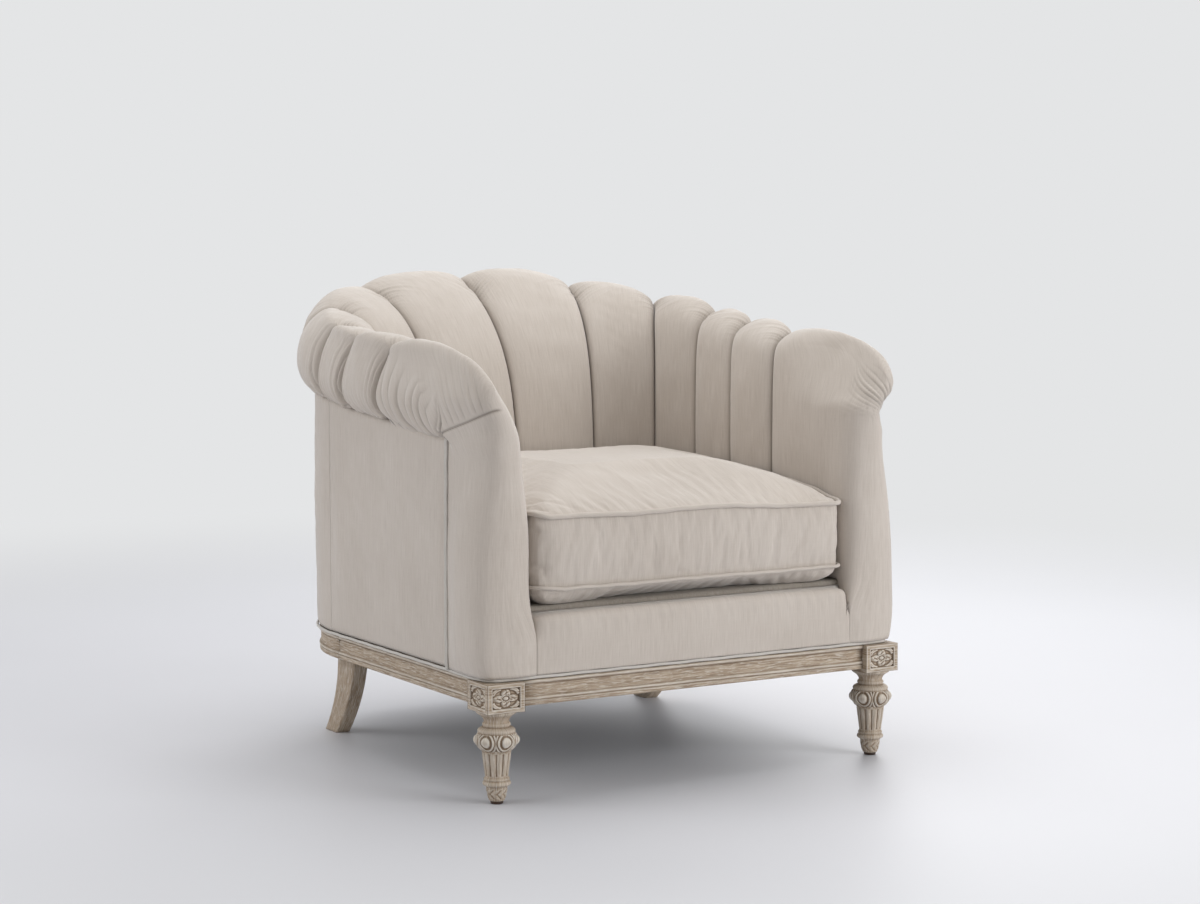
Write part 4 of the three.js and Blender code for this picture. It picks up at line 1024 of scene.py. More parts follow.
def lean_top(p):
    """Moves the top of an arm's front end out over its outer side."""
    x, y, z = p[..., 0], p[..., 1], p[..., 2]
    free = np.clip((0.442 + x) / 0.09, 0, 1)
    p[..., 0] -= 0.055 * step(z, 0.61 + 0.045 * step(y, 0.03, 0.24), 0.78) * free
    return p


def flowing_side(outer, tuck_row):
    """In front of the welt the column's side runs up into the roll in one sweep."""
    first, last = tuck_row - 6, tuck_row + 34
    s = np.linspace(0, 1, last - first + 1)[:, None, None]
    sweep = outer[first] * (1 - s) + outer[last] * s
    share = step(outer[tuck_row, :, 1], WELT_Y - 0.004, WELT_Y - 0.05)[:, None]
    outer[first:last + 1] += share * (sweep - outer[first:last + 1])
    return outer


def draw_in(p, waist):
    """Narrows the front's outer side below the roll, less so where the arm's post stands behind it."""
    x, y, z = p[..., 0], p[..., 1], p[..., 2]
    outside = np.clip((-0.365 - x) / 0.05, 0, 1)
    rising = 0.38 * step(z, 0.46, 0.58) + 0.62 * step(z, 0.6, 0.638)
    p[..., 0] += waist * outside * rising * step(z, 0.695, 0.65) * step(y, 0.15, 0.06)
    return p


def arm_front(side):
    columns, arc, face = 170, 24, 14
    tuck = wall_point(0, 1.0)[2]
    low = np.linspace(PANEL_LOW, tuck - 0.002, 70)
    share = np.linspace(0, 1, 84)
    heights = wall_point(0.5, np.linspace(0, 0.4, 200))[:, 2]
    low_run = np.interp(low, heights, np.linspace(0, 0.4, 200))
    high_run = low_run[-1] + (CREST_AT - low_run[-1]) * share
    outer_run = 1 + (CREST_AT - 1) * share
    rows = len(low) + len(share)
    under = low[:, None]
    shrink = step(under, 0.268, 0.345)
    depth = spline(NOSE_DEPTH, low_run) * shrink[:, 0] + 0.0015 * (1 - shrink[:, 0])
    low_end = raised(np.zeros(len(low)), low_run, front_swell(low_run) - depth)
    inner_low = arm_side(low_run, low_end, columns, arc, shrink)
    # Below the deck the arm's inner side goes straight down, behind the front apron's end
    below = under < WALL_FOOT
    inner_low[..., 2] = np.where(below, under, inner_low[..., 2])
    back = step(inner_low[..., 1], 0.05, 0.062) * step(under, WALL_FOOT, WALL_FOOT - 0.006)
    inner_low[..., 0] += (-0.350 - inner_low[..., 0]) * np.where(below, back, 0)
    inner_end, outer_end = nose_ends(high_run, outer_run)
    inner = np.concatenate([inner_low, arm_side(high_run, inner_end, columns, arc)])
    upper = arm_side(outer_run, outer_end, columns, arc)[:, ::-1]
    # The outside of the lower part: a round corner, a side up to the welt, then a flap behind it
    z = low[:, None]
    reach = 0.040 + 0.018 * step(z, 0.3, 0.6)
    a = np.linspace(0, math.pi / 2, arc + 1)[None, :-1]
    bulge = 0.0165 * outer_bulge(z)
    corner_x = 0.022 + 0.007 * step(z, 0.24, 0.34)
    corner = np.stack([-(PANEL_OUT + bulge - corner_x) - corner_x * np.sin(a),
                       FACE + reach * (1 - np.cos(a)), z + 0 * a], -1)
    end_y = wall_point(1, 1.0)[1]
    c = 1 - closer(np.linspace(1, 0, columns))[None]
    y = FACE + reach + (end_y - FACE - reach) * c
    x = -(PANEL_OUT + bulge * (1 - 0.85 * step(y, 0.09, WELT_Y)))
    x = x + 0.013 * step(y, WELT_Y - 0.002, WELT_Y + 0.0015)
    lower = np.concatenate([corner, np.stack([x, y, z + 0 * y], -1)], 1)
    outer = np.concatenate([lower, upper], 0)
    outer = flowing_side(outer, len(low))
    first, last = inner[:, -1:], outer[:, :1]
    w = np.linspace(0, 1, 2 * face + 1)[None, 1:-1, None]
    front = first * (1 - w) + last * w
    span = np.linalg.norm(last - first, axis=-1)[..., None]
    front[..., 1] -= (0.0055 * (1 - (2 * w - 1) ** 2) * np.clip(span / 0.07, 0, 1))[..., 0]
    p = np.concatenate([inner, front, outer], 1)
    p = relax(p, front_mask(p, rows, len(low)), 60)
    inside = np.arange(p.shape[1]) < p.shape[1] // 2
    up_inside, up_outside = np.concatenate([low_run, high_run]), np.concatenate([0 * low_run, outer_run])
    run = np.where(inside, up_inside[:, None], up_outside[:, None])
    behind = step(p[..., 1], 0.13, 0.30)[..., None]
    p = lean_top(p.copy()) * (1 - behind) + crest_out(p.copy(), run) * behind
    if side > 0:
        p = lift_tuck(p)
    p = draw_in(p, 0.010 if side < 0 else 0.0165)
    dense, times = columns - 5, 3
    p = finer_columns(p, dense, times)
    marks = columns + arc // 2, columns + arc + 2 * face - 1
    nose, outer_start = (dense + times * (mark - dense) for mark in marks)
    return folds_of_front(p, side, len(low), nose, outer_start)


def lift_tuck(p):
    """On the right arm the gathers meet higher up, where the column ends under the roll."""
    p[..., 2] += 0.026 * hump(p[..., 2], 0.612, 0.045) * step(p[..., 1], 0.17, 0.07)
    return p


def finer_columns(p, dense, times):
    """Splits the columns round the nose, all but the first and last dense ones, into more."""
    cols = p.shape[1]
    last = cols - 1 - dense
    split = dense + np.arange((last - dense) * times) / times
    at = np.concatenate([np.arange(dense), split, np.arange(last, cols)])
    flat = p.transpose(1, 0, 2).reshape(cols, -1)
    curved = spline(flat, at / (cols - 1)).reshape(len(at), -1, 3).transpose(1, 0, 2)
    before = np.minimum(at.astype(int), cols - 2)
    after = (at - before)[None, :, None]
    straight = p[:, before] * (1 - after) + p[:, before + 1] * after
    return straight + (curved - straight) * step(straight[..., 2:], 0.45, 0.55)


def front_mask(p, rows, tuck_row):
    """Where the skin may be smoothed: not at the seams, the foot or the tuck behind the welt."""
    y, k = p[..., 1], np.arange(rows)[:, None]
    mask = step(y, 0.24, 0.12) * np.ones(p.shape[:2])
    outer = np.arange(p.shape[1])[None] > p.shape[1] // 2
    near_tuck = np.abs(k - tuck_row + 0.5) < 9
    mask = np.where(outer & near_tuck, mask * step(y, WELT_Y - 0.004, WELT_Y - 0.05), mask)
    mask = np.where(outer & (k < tuck_row), mask * step(y, WELT_Y - 0.006, WELT_Y - 0.03), mask)
    mask = mask * step(k, 0, 5)
    inner = np.arange(p.shape[1])[None] < p.shape[1] // 2
    return np.where(inner & (p[..., 2] < WALL_FOOT + 0.004), 0, mask)[..., None]


def relax(p, mask, times):
    """Smooths a folded skin's grid, whose top row is shared by its two halves."""
    for _ in range(times):
        up = np.concatenate([p[1:], p[-2:-1, ::-1]])
        down = np.concatenate([p[:1], p[:-1]])
        left = np.concatenate([p[:, :1], p[:, :-1]], 1)
        right = np.concatenate([p[:, 1:], p[:, -1:]], 1)
        p = p + mask * 0.5 * ((up + down + left + right) / 4 - p)
        p[-1] = (p[-1] + p[-1, ::-1]) / 2
    return p


def grid_normals(p):
    across = np.gradient(p, axis=1)
    along = np.gradient(p, axis=0)
    way = np.cross(along, across)
    size = np.linalg.norm(way, axis=-1, keepdims=True)
    return way / np.maximum(size, 1e-9)


def folds_of_front(p, side, tuck_row, inner_nose, outer_start):
    """Gathers that rise from the tuck line and fan out from its front end, with the seams, and painted shade
    in the seams and the folds' valleys.
    """
    rows, cols = p.shape[:2]
    pucker_y = WELT_Y if side < 0 else 0.040
    j = outer_start + int(np.argmin(np.abs(p[tuck_row, outer_start:, 1] - pucker_y)))
    steps = np.linalg.norm(np.diff(p, axis=1), axis=-1)
    ahead = np.concatenate([np.zeros((rows, 1)), np.cumsum(steps, 1)], 1)
    ahead = ahead[:, j:j + 1] - ahead
    climb = np.linalg.norm(np.diff(p, axis=0), axis=-1)
    climb = np.concatenate([np.zeros((1, cols)), np.cumsum(climb, 0)])
    v = np.maximum(climb - climb[tuck_row:tuck_row + 1], 0)
    on_roll = (np.arange(rows) >= tuck_row)[:, None] * step(np.arange(cols), 60, 120)[None]
    # Behind the pucker, or behind the seam that rises from the welt on the left arm
    behind = (0.62 * v if side < 0 else 0) - ahead
    bow = 0.018 * np.sin(math.pi * np.clip(v / 0.13, 0, 1)) * step(behind, 0.0, 0.05)
    rear = np.maximum(behind - bow, 0)
    span = 0.387 - pucker_y
    t = np.clip(rear / span, 0, 1)
    phase = 9.4 * t ** 0.62
    width = span / 9.4 / 0.62 * np.maximum(t, 0.004) ** 0.38
    tall = np.minimum(0.38 * width, 0.0078)
    fade = step(v, 0.14 + 0.015 * np.sin(phase * 2.1), 0.04)
    height = tall * fade * ridge(phase, 2 if side < 0 else 4) * on_roll * step(rear, 0.0, 0.003)
    # Painted shade in the valleys of the gathers
    dark = 0.36 * fade * fold_valley_shade(phase) * on_roll * step(rear, 0.002, 0.008)
    far = np.hypot(ahead, v)
    height = height - 0.004 * np.exp(-(far / 0.007) ** 2) * (ahead > -0.01) * on_roll
    seam = dark
    if side > 0:
        # Pleats fan out over the front of the roll from the pucker, with painted shade in their valleys
        round_nose = 0.06 * (np.arctan2(0.09 - p[..., 1], -0.40 - p[..., 0]) - 1.1)
        rise = p[..., 2] - p[tuck_row, j, 2]
        angle, far = np.arctan2(round_nose, rise), np.hypot(round_nose, rise)
        phase = angle * 9.5 + 5 * far
        fan = step(far, 0.135 - 0.02 * np.sin(angle * 7), 0.05) * step(far, 0.0, 0.03)
        fan = fan * step(np.abs(angle), 1.6, 0.7)
        height = height + 0.0052 * (ridge(phase, 6) - 0.5) * fan
        seam = np.maximum(seam, 0.5 * fold_valley_shade(phase) * fan)
    else:
        # One seam runs level forward to the inner side of the nose, and one rises from the welt; both seams
        # and the valleys of the soft folds beside them get painted shade
        share = np.clip(ahead / ahead[tuck_row, inner_nose], 0, 1)
        start = p[tuck_row, j, 2]
        off = p[..., 2] - start - (0.674 - start) * share
        on = step(share, 1.0, 0.96) * (ahead > -0.001) * (np.arange(cols) > inner_nose)[None]
        over = 0.154 - p[..., 1] + p[..., 0] + 0.44
        phase = over / 0.019 + off / 0.035
        soft = on * np.exp(-off / 0.05) * step(off, 0.001, 0.012) * step(over, 0.0, 0.03)
        height = height + 0.0036 * (ridge(phase, 6) - 0.4) * soft
        seam = np.maximum(seam, 0.28 * fold_valley_shade(phase) * soft)
        height = height + on * (0.0011 * np.exp(-np.abs(off) / 0.007) - 0.0024 * hump(off, 0, 0.0019))
        seam = np.maximum(seam, on * hump(off, 0, 0.0015))
        on = on_roll * step(v, 0.105, 0.05)
        height = height - on * 0.0022 * hump(behind, 0, 0.0019)
        seam = np.maximum(seam, on * 0.8 * hump(behind, 0, 0.0015))
    # Painted shade along the seams at the piece's edges
    edge = np.minimum(np.arange(cols), cols - 1 - np.arange(cols))[None]
    seam = np.maximum(seam, np.exp(-edge / 1.2) * np.ones((rows, 1)))
    height = height + 0.0009 * wobble(p * mirror_sign(side), 0.06, 9) * step(p[..., 2], 0.22, 0.26)
    pole = np.linalg.norm(p - p[-1, cols // 2], axis=-1)
    height = height * step(edge, 0, 4) * step(pole, 0.008, 0.024)
    height[-1] = (height[-1] + height[-1, ::-1]) / 2
    p = p + grid_normals(p) * height[..., None]
    p[-1] = (p[-1] + p[-1, ::-1]) / 2
    return p, seam


def soothe(obj, place, reach, times):
    """Smooths a mesh round a place, where its rows crowd together."""
    made = bmesh.new()
    made.from_mesh(obj.data)
    near = [vert for vert in made.verts if (vert.co - place).length < reach]
    for _ in range(times):
        bmesh.ops.smooth_vert(made, verts=near, factor=0.5, use_axis_x=True, use_axis_y=True, use_axis_z=True)
    made.to_mesh(obj.data)
    made.free()


def add_arm_fronts():
    for name, side in SIDES:
        p, seam = arm_front(side)
        weave = metres(p)
        if side > 0:
            p = mirror(p)
        else:
            p, seam, weave = p[:, ::-1], seam[:, ::-1], weave[:, ::-1]
        obj = grid(f"padded_arm_front_{name}", p, FABRIC, closed=False, weave=weave)
        # The seam attribute holds painted shade for the seams and the fold valleys
        set_values(obj, "seam", seam)
        pole = Vector(p[-1, p.shape[1] // 2]) + Vector((0, FRONT, 0))
        weld(obj, 0.00004)
        soothe(obj, pole, 0.014, 20)
        thicken(obj, 0.009)
        finish_piece(obj, [f"front_bolster_{name}", f"arm_front_{name}"])


# Apron, outside panels and welts

def add_apron():
    half = 0.3277
    x = np.linspace(-half, half, 190)
    front = np.linspace(PANEL_LOW, 0.3085, 26)
    a = np.linspace(0, math.pi / 2, 12)[1:]
    y = np.concatenate([np.full(26, FACE), FACE + 0.0125 * (1 - np.cos(a)),
                        [0.034, 0.0485, 0.0485, 0.0485, 0.0485]])
    z = np.concatenate([front, 0.3085 + 0.013 * np.sin(a), [0.3217, 0.3215, 0.3, 0.26, PANEL_LOW]])
    xx, yy = np.meshgrid(x, y, indexing="ij")
    zz = np.broadcast_to(z, xx.shape).copy()
    outside = (np.arange(len(y)) < 38)[None]
    end = half - np.abs(xx)
    high = step(zz, 0.262, 0.312)
    full = 0.0032 * np.sin(np.clip((zz - PANEL_LOW) / 0.1, 0, 1) * math.pi) * step(end, 0, 0.08)
    yy = yy - outside * full + outside * 0.013 * np.exp(-end / 0.0075) * high
    droop = outside * 0.0025 * step(zz, 0.30, 0.32) * (xx / half) ** 2
    zz = zz - outside * 0.007 * np.exp(-end / 0.012) * high - droop
    p = np.stack([xx, yy, zz], -1)
    soft = 0.0007 * wobble(p, 0.07, 5) + 0.0003 * np.sin(xx * 260 + 3 * np.sin(zz * 40)) * high
    p[..., 1] += soft * outside
    weave = np.stack([xx, zz], -1)
    weave = np.concatenate([weave, weave[:, :1]], 1)
    obj = grid("padded_apron", p, FABRIC, wrap=True, caps=True, weave=weave)
    finish_piece(obj, ["front_apron"])


def outside_panel(name, seams, ends):
    """A padded panel between two places along the outside, from the base welt to the tuck line."""
    up = np.linspace(0, 1, 76)[:, None]
    seam = seams[None]
    share = seam_share(OUTER_SHARES, seam)
    plan_in = plan_point(BASE, share, -0.05)
    out = plan_point(BASE, share, 0.002)
    way = (out - plan_in) / np.linalg.norm(out - plan_in, axis=-1, keepdims=True)
    top = wall_point(seam, 1.0)[..., 2] - 0.0045
    z = PANEL_LOW + (top - PANEL_LOW) * up
    side = np.minimum(np.arange(len(seams)), len(seams) - 1 - np.arange(len(seams)))[None] / len(seams) * ends
    full = (np.sin(math.pi * up ** 0.8) ** 0.6) * step(side, 0, 0.11)
    p = np.concatenate([out, np.zeros(share.shape + (1,))], -1) * np.ones(up.shape)[..., None]
    p[..., 2] = z
    grow = 0.0034 * full + 0.0013 * wobble(p, 0.09, 12) * full + 0.0006 * wobble(p, 0.03, 14) * full
    pull = step(top - z, 0.045, 0.004)
    length = np.concatenate([[0], np.cumsum(np.linalg.norm(np.diff(p[0], axis=0), axis=1))])[None]
    grow = grow + 0.0011 * pull * ridge(length / 0.017 + 0.5 * np.sin(z * 60), 8) * step(side, 0, 0.1)
    grow = grow - 0.0125 * step(top - z, 0.009, 0.0) - 0.002 * step(up, 0.02, 0.0)
    p[..., :2] += way * grow[..., None]
    lengths = np.stack([length + 0 * z, z + 0 * length], -1)
    obj = grid(name, p[:, ::-1], FABRIC, closed=False, weave=lengths[:, ::-1])
    thicken(obj, 0.0055)
    return obj


def add_outside_panels():
    start = (WELT_Y + 0.001 - FACE) / plan_length(BASE) / OUTER_SHARES[1]
    for name, side in SIDES:
        seams = np.concatenate([np.linspace(start, 1, 70)[:-1], np.linspace(1, 3 - 0.002, 64)])
        obj = outside_panel(f"padded_side_{name}", seams, 1.2)
        if side > 0:
            obj.data.transform(Matrix.Diagonal((-1, 1, 1, 1)))
            obj.data.flip_normals()
        finish_piece(obj, [f"outside_arm_panel_{name}"])
    obj = outside_panel("padded_back", np.linspace(3, 9, 230), 2.5)
    finish_piece(obj, ["outside_back_panel"])


def add_welts():
    bend = rear_bend(BASE, 0.0032, 60)
    sidex = bend[0][0]
    side_y = np.linspace(0.065, bend[0][1], 80)[:-1]
    swell = 0.0022 * step(side_y, 0.17, 0.09)
    a = np.linspace(0, math.pi / 2, 16)[:-1]
    ex, ey = 0.026, 0.052
    corner = np.stack([sidex - 0.0022 + ex * (1 - np.sin(a)), 0.065 - ey * np.cos(a)], -1)
    left = np.concatenate([corner, np.stack([sidex - swell, side_y], -1), bend])
    front = np.linspace(left[0] * [-1, 1], left[0], 90)[1:-1]
    back = np.linspace(left[-1], left[-1] * [-1, 1], 30)[1:-1]
    plan = np.concatenate([left, back, (left * [-1, 1])[::-1], front])
    path = np.concatenate([plan, np.full((len(plan), 1), RAIL_TOP + 0.0034)], 1)
    path[:, 2] += 0.0003 * np.sin(np.arange(len(path)) * 0.7)
    obj = tube("foot_welt", path, 0.0026, WELT)
    finish_piece(obj, ["base_welt"])
    for name, side in SIDES:
        z = np.linspace(RAIL_TOP + 0.006, wall_point(0, 1.0)[2] + 0.004, 120)
        x = -(PANEL_OUT + 0.0021) - 0.0016 * outer_bulge(z) + 0.0004 * np.sin(z * 130)
        x = x + 0.006 * step(z, 0.612, 0.622)
        cords = []
        for k, way in enumerate((-1, 1)):
            y = WELT_Y + way * 0.0022 + 0.0004 * np.sin(z * 90 + k)
            path = np.stack([x, y, z], -1)
            if side > 0:
                path = mirror(path)
            cords.append(tube(f"welt_cord_{k}_{name}", path, 0.0023, WELT, loop=False))
        finish_piece(join(f"double_welt_{name}", cords), [f"arm_welt_{name}"])


# Seat cushion

CUSHION = dict(half=0.325, front=0.020, back=0.634, near=0.030, far=0.105)
LOW_SEAM, HIGH_SEAM, CROWN = 0.3598, 0.4836, 0.551


def cushion_outline(inset=0.0, draw=1.0, count=300):
    c = CUSHION
    a = np.linspace(0, math.pi / 2, 24)
    parts = [np.array([[0.0, c["front"] + inset]])]
    r = c["near"] - inset
    parts.append(np.stack([c["half"] - c["near"] + r * np.sin(a),
                           c["front"] + c["near"] - r * np.cos(a)], -1))
    r = c["far"] - inset
    parts.append(np.stack([c["half"] - c["far"] + r * np.cos(a),
                           c["back"] - c["far"] + r * np.sin(a)], -1))
    parts.append(np.array([[0.0, c["back"] - inset]]))
    half = np.concatenate(parts)
    loop = np.concatenate([half, (half * [-1, 1])[::-1][1:]])
    length = np.concatenate([[0], np.cumsum(np.linalg.norm(np.diff(loop, axis=0), axis=1))])
    at = np.linspace(0, length[-1], count + 1)[:-1]
    p = np.stack([np.interp(at, length, loop[:, 0]), np.interp(at, length, loop[:, 1])], -1)
    middle = np.array([0, (c["front"] + c["back"]) / 2])
    away = p - middle
    corner = np.clip(np.abs(away[:, 0] / c["half"] * away[:, 1] / (c["back"] - middle[1])), 0, 1)
    pull = 0.005 * draw * (1 - corner ** 2)
    return p - away / np.linalg.norm(away, axis=1, keepdims=True) * pull[:, None]


def high_seam(xy):
    """Height of the upper seam, which the crown lifts towards the back of the cushion."""
    x, y = xy[..., 0], xy[..., 1]
    lift = np.interp(y, [0.02, 0.07, 0.13, 0.3, 0.45, 0.64], [0, 0.002, 0.010, 0.029, 0.036, 0.036])
    droop = 0.0095 * step(x, 0.05, 0.33) - 0.009 * step(x, -0.29, -0.33)
    wave = 0.001 * np.sin(x * 21 + 1) * step(y, 0.1, 0.03)
    return HIGH_SEAM + lift - droop * step(y, 0.12, 0.02) + wave


def low_seam(xy):
    """Height of the lower seam, a little higher at the left front corner."""
    return LOW_SEAM + 0.005 * step(xy[..., 0], -0.26, -0.325) * step(xy[..., 1], 0.12, 0.03)


def cushion_shape(slack):
    """Rings of the cushion from the middle of its underside to that of its crown."""
    middle = np.array([0, 0.327])
    rings = []

    def ring(plan, z):
        z = np.broadcast_to(z, (len(plan),))
        rings.append(np.concatenate([plan, z[:, None]], 1))

    seam_plan = cushion_outline(0.006, 0.3)
    low = low_seam(seam_plan)
    floor = WALL_FOOT + 0.0015 + slack * 0.3
    for keep in (0.05, 0.2, 0.4, 0.6, 0.75, 0.86, 0.92, 0.95, 0.968, 0.982, 0.992):
        inset = (1 - keep) * 0.31 / 0.028
        rise = 1 - math.sqrt(1 - max(1 - inset, 0) ** 2)
        ring(middle + (seam_plan - middle) * keep, floor + (low - floor) * rise)
    ring(seam_plan, low)
    high = high_seam(seam_plan)
    for up in np.linspace(0, 1, 16)[1:-1]:
        full = math.sin(math.pi * up) ** 0.7
        ring(cushion_outline(0.004 + slack * 0.35 - 0.004 * full, full), low + (high - low) * up)
    ring(seam_plan, high)
    for keep in (0.985, 0.965, 0.94, 0.91, 0.87, 0.82, 0.76, 0.69, 0.61, 0.52, 0.42, 0.31, 0.2, 0.1, 0.04):
        share = 1 - keep ** 3.1
        ring(middle + (seam_plan - middle) * keep, high + (CROWN - slack - high) * share)
    return np.array(rings)


def simulate(obj, seams):
    """Pumps the cushion up as cloth that is held along its seams, then fixes the result."""
    mod = obj.modifiers.new("remesh", "REMESH")
    mod.mode, mod.voxel_size, mod.use_smooth_shade = "VOXEL", 0.0055, True
    apply_modifiers(obj)
    rest = positions(obj)
    group = obj.vertex_groups.new(name="held")
    tree = KDTree(len(seams))
    for k, point in enumerate(seams):
        tree.insert(point, k)
    tree.balance()
    near = [k for k, co in enumerate(rest) if tree.find(co)[2] < 0.0065]
    group.add(near, 1.0, "REPLACE")
    mod = obj.modifiers.new("cloth", "CLOTH")
    mod.settings.quality = 6
    mod.settings.mass = 0.3
    mod.settings.tension_stiffness = mod.settings.compression_stiffness = 14
    mod.settings.bending_stiffness = 0.35
    mod.settings.use_pressure = True
    mod.settings.uniform_pressure_force = 4
    mod.settings.shrink_min = mod.settings.shrink_max = -0.014
    mod.settings.effector_weights.gravity = 0
    mod.settings.vertex_group_mass = "held"
    mod.point_cache.frame_start, mod.point_cache.frame_end = 1, 20
    for frame_number in range(1, 21):
        scene.frame_set(frame_number)
    apply_modifiers(obj)
    scene.frame_set(1)
    moved = positions(obj) - rest
    size = np.linalg.norm(moved, axis=1, keepdims=True)
    capped = rest + moved * np.minimum(1, 0.026 / np.maximum(size, 1e-9))
    set_positions(obj, capped)
    obj.vertex_groups.clear()


def positions(obj):
    co = np.zeros(len(obj.data.vertices) * 3)
    obj.data.vertices.foreach_get("co", co)
    return co.reshape(-1, 3)


def set_positions(obj, co):
    obj.data.vertices.foreach_set("co", np.asarray(co, np.float32).ravel())
    obj.data.update()


def vertex_normals(obj):
    n = np.zeros(len(obj.data.vertices) * 3)
    obj.data.vertex_normals.foreach_get("vector", n)
    return n.reshape(-1, 3)


def subdivide(obj):
    mod = obj.modifiers.new("fine", "SUBSURF")
    mod.levels = mod.render_levels = 1
    apply_modifiers(obj)
    obj.data.polygons.foreach_set("use_smooth", [True] * len(obj.data.polygons))


def weave_by_side(obj):
    """Places on the cloth from each face's own direction: from above, from the front or a side."""
    mesh = obj.data
    co = positions(obj)
    normal = np.zeros(len(mesh.polygons) * 3)
    mesh.polygons.foreach_get("normal", normal)
    normal = np.abs(normal.reshape(-1, 3))
    total = np.zeros(len(mesh.polygons), int)
    mesh.polygons.foreach_get("loop_total", total)
    corner = np.zeros(len(mesh.loops), int)
    mesh.loops.foreach_get("vertex_index", corner)
    normal = np.repeat(normal, total, 0)
    at = co[corner]
    top = normal[:, 2] > 0.62
    facing = normal[:, 1] > normal[:, 0]
    u = np.where(top | facing, at[:, 0], at[:, 1])
    v = np.where(top, at[:, 1], at[:, 2])
    layer = mesh.uv_layers.get("weave") or mesh.uv_layers.new(name="weave")
    layer.data.foreach_set("uv", np.stack([u, v], -1).astype(np.float32).ravel())


def add_cushion():
    p = cushion_shape(0.011)
    obj = grid("stuffed_seat_cushion", p, FABRIC, wrap=True, caps=True, body="cushion")
    seam_plan = cushion_outline(0.006, 0.3, 700)
    low = np.concatenate([seam_plan, low_seam(seam_plan)[:, None]], 1)
    high = np.concatenate([seam_plan, high_seam(seam_plan)[:, None]], 1)
    simulate(obj, np.concatenate([low, high]) + [0, FRONT, 0])
    subdivide(obj)
    co = positions(obj) - [0, FRONT, 0]
    n = vertex_normals(obj)
    c = CUSHION
    x, y, z = co.T
    top = step(n[:, 2], 0.5, 0.8)
    front = step(-n[:, 1], 0.4, 0.8) * step(y, 0.08, 0.05)
    from_edge = np.maximum(y - c["front"], 0)
    slant = x + 0.30 * from_edge
    narrow = ridge(slant / 0.031 + 0.6 * np.sin(y * 17), 1) - 0.5
    broad = ridge(slant / 0.067 + 0.5 * np.sin(y * 9 + 1), 3) - 0.5
    height = top * 0.0019 * narrow * np.exp(-from_edge / 0.085)
    height += top * 0.0016 * broad * np.exp(-from_edge / 0.17)
    height += top * 0.0012 * wobble(co, 0.06, 15)
    lean = x - 0.12 * (z - LOW_SEAM)
    height += front * 0.0011 * (ridge(lean / 0.019 + 0.4 * np.sin(z * 50), 5) - 0.5)
    height += front * 0.0008 * wobble(co * [1, 1, 0.25], 0.02, 16)
    co = co + n * height[:, None]
    co[:, 0] = np.clip(co[:, 0], -0.3262, 0.3262)
    co[:, 1] = np.clip(co[:, 1], 0.0165, 0.6365)
    co[:, 2] = np.clip(co[:, 2], WALL_FOOT + 0.0004, 0.5535)
    set_positions(obj, co + [0, FRONT, 0])
    weave_by_side(obj)
    finish_piece(obj, ["seat_cushion"], body="cushion")
    plan = cushion_outline(0.002, 0.3, 420)
    for name, z in (("lower", low_seam(plan)), ("upper", high_seam(plan))):
        path = np.concatenate([plan, z[:, None]], 1)
        path[:, 2] += 0.0004 * np.sin(np.arange(420) * 0.55) + 0.0005 * np.sin(np.arange(420) * 0.17)
        cord = tube(f"self_piping_{name}", path, 0.0042 if name == "upper" else 0.0032, FABRIC)
        finish_piece(cord, [f"cushion_piping_{name}"], body="cushion")


# Deck, stretched cloths and hidden frame

def add_deck():
    low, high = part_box("seat_deck")
    outline = rear_bend(INNER, 0.007, 40)
    outline = np.concatenate([outline, (outline * [-1, 1])[::-1]])
    front = high.x, low.y - FRONT
    outline = np.concatenate([outline, [[front[0], front[1]], [-front[0], front[1]]]])
    fine = []
    for a, b in zip(outline, np.roll(outline, -1, 0)):
        count = max(1, int(np.linalg.norm(b - a) / 0.012))
        fine.extend(a + (b - a) * k / count for k in range(count))
    outline = np.array(fine)
    middle = np.array([0, 0.33])
    rings = []
    for inset, z in ((0.02, 0), (0.003, 0.0004), (0.0006, 0.003), (0, 0.008), (0, 0.017), (0.0012, 0.0215),
                     (0.005, 0.0240), (0.012, 0.0248), (0.05, 0.0249), (0.15, 0.0249), (0.25, 0.0249)):
        away = middle - outline
        away /= np.linalg.norm(away, axis=1, keepdims=True)
        plan = outline + away * inset
        rings.append(np.concatenate([plan, np.full((len(plan), 1), low.z + z)], 1))
    obj = grid("padded_deck", np.array(rings), DECK, wrap=True, caps=True)
    weave_by_side(obj)
    finish_piece(obj, ["seat_deck"])


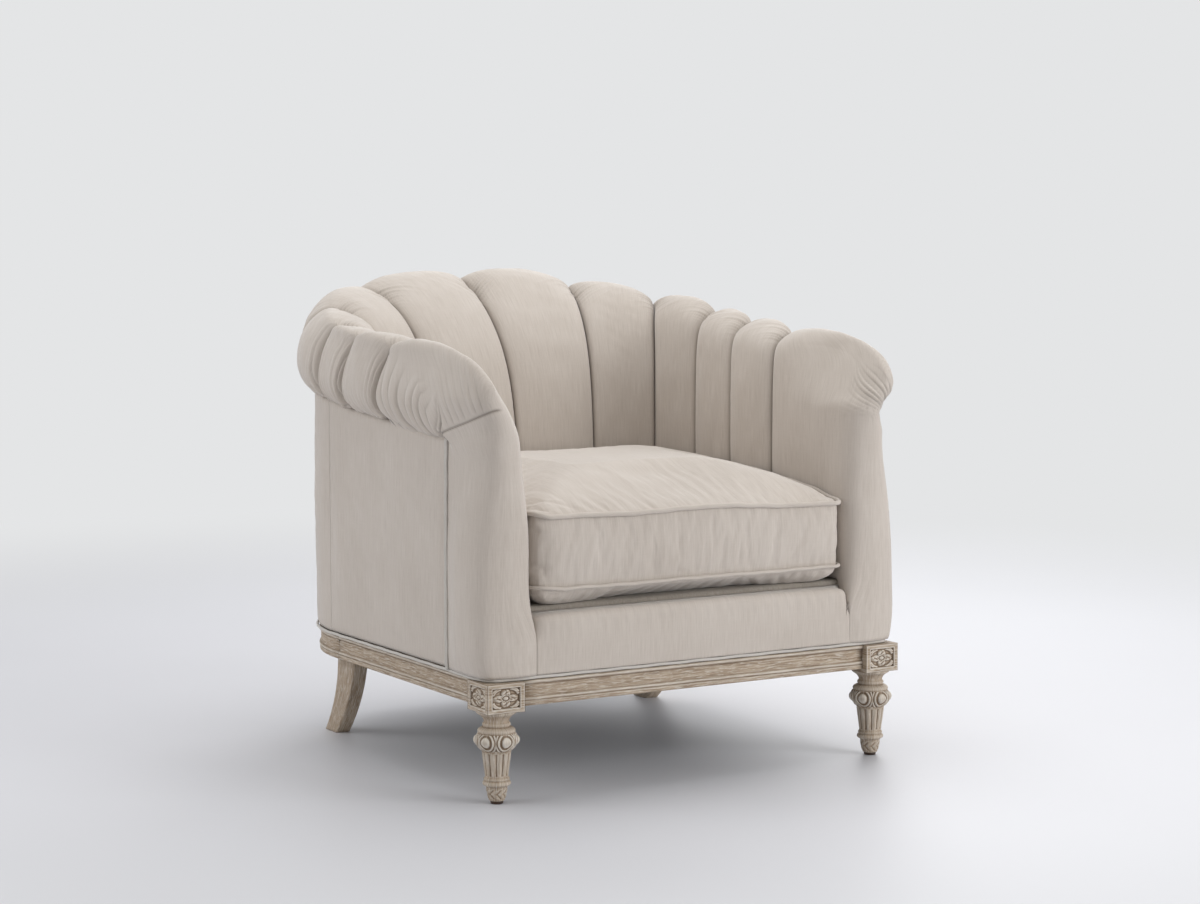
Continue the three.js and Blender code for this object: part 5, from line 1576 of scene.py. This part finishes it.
def stretched(name, node, look, count=30):
    """A cloth nailed flat on the frame, a little slack between its edges."""
    low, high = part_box(node)
    size = high - low
    axis = min(range(3), key=lambda k: size[k])
    u, v = (k for k in range(3) if k != axis)
    s, t = np.meshgrid(np.linspace(0, 1, count), np.linspace(0, 1, count))
    p = np.zeros((count, count, 3))
    p[..., u], p[..., v] = low[u] + size[u] * s, low[v] + size[v] * t
    slack = np.sin(math.pi * s) * np.sin(math.pi * t)
    p[..., axis] = low[axis] + 0.2 * size[axis] + 0.0005 * slack
    p[..., 1] -= FRONT
    obj = grid(name, p, look, closed=False)
    thicken(obj, -0.0005)
    finish_piece(obj, [node])


def add_dust_cover():
    low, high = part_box("dust_cover")
    bend = rear_bend(BASE, -0.0612, 40)
    outline = np.concatenate([bend, (bend * [-1, 1])[::-1]])
    outline = np.concatenate([outline, [[high.x, low.y - FRONT], [-high.x, low.y - FRONT]]])
    middle = np.array([0, 0.45])
    rings = []
    for keep in np.linspace(1, 0.04, 22):
        plan = middle + (outline - middle) * keep
        z = low.z + 0.0004 - 0.0012 * (1 - keep ** 2) + 0.0002 * np.sin(plan[:, 0] * 60) * (1 - keep)
        rings.append(np.concatenate([plan, z[:, None]], 1))
    p = np.array(rings)
    obj = grid("base_cloth", p, BLACK_CLOTH, wrap=True, closed=False)
    thicken(obj, 0.0006)
    finish_piece(obj, ["dust_cover"])


def dress_frame():
    looks = {"frame_wood": FRAME_WOOD, "spring_steel": STEEL, "lining_cloth": BURLAP, "foam": FOAM,
             "black_cloth": BLACK_CLOTH, "deck_cloth": DECK, "limed_oak": OAK, "dark_glide": GLIDE,
             "upholstery_fabric": FABRIC, "welt_fabric": WELT}
    slots = {part["node"]: part["material_slot"] for part in frame["record"]["subparts"]}
    for name, obj in nodes.items():
        for held in obj.material_slots:
            held.material = looks[slots[name]]


add_camera()
add_stage()
add_channels()
add_rails()
add_front_legs()
add_rear_legs()
add_arm_fronts()
add_apron()
add_outside_panels()
add_welts()
add_deck()
for name, side in SIDES:
    stretched(f"stretched_burlap_{name}", f"arm_lining_{name}", BURLAP)
stretched("stretched_burlap_back", "back_lining", BURLAP)
add_dust_cover()
add_cushion()
dress_frame()
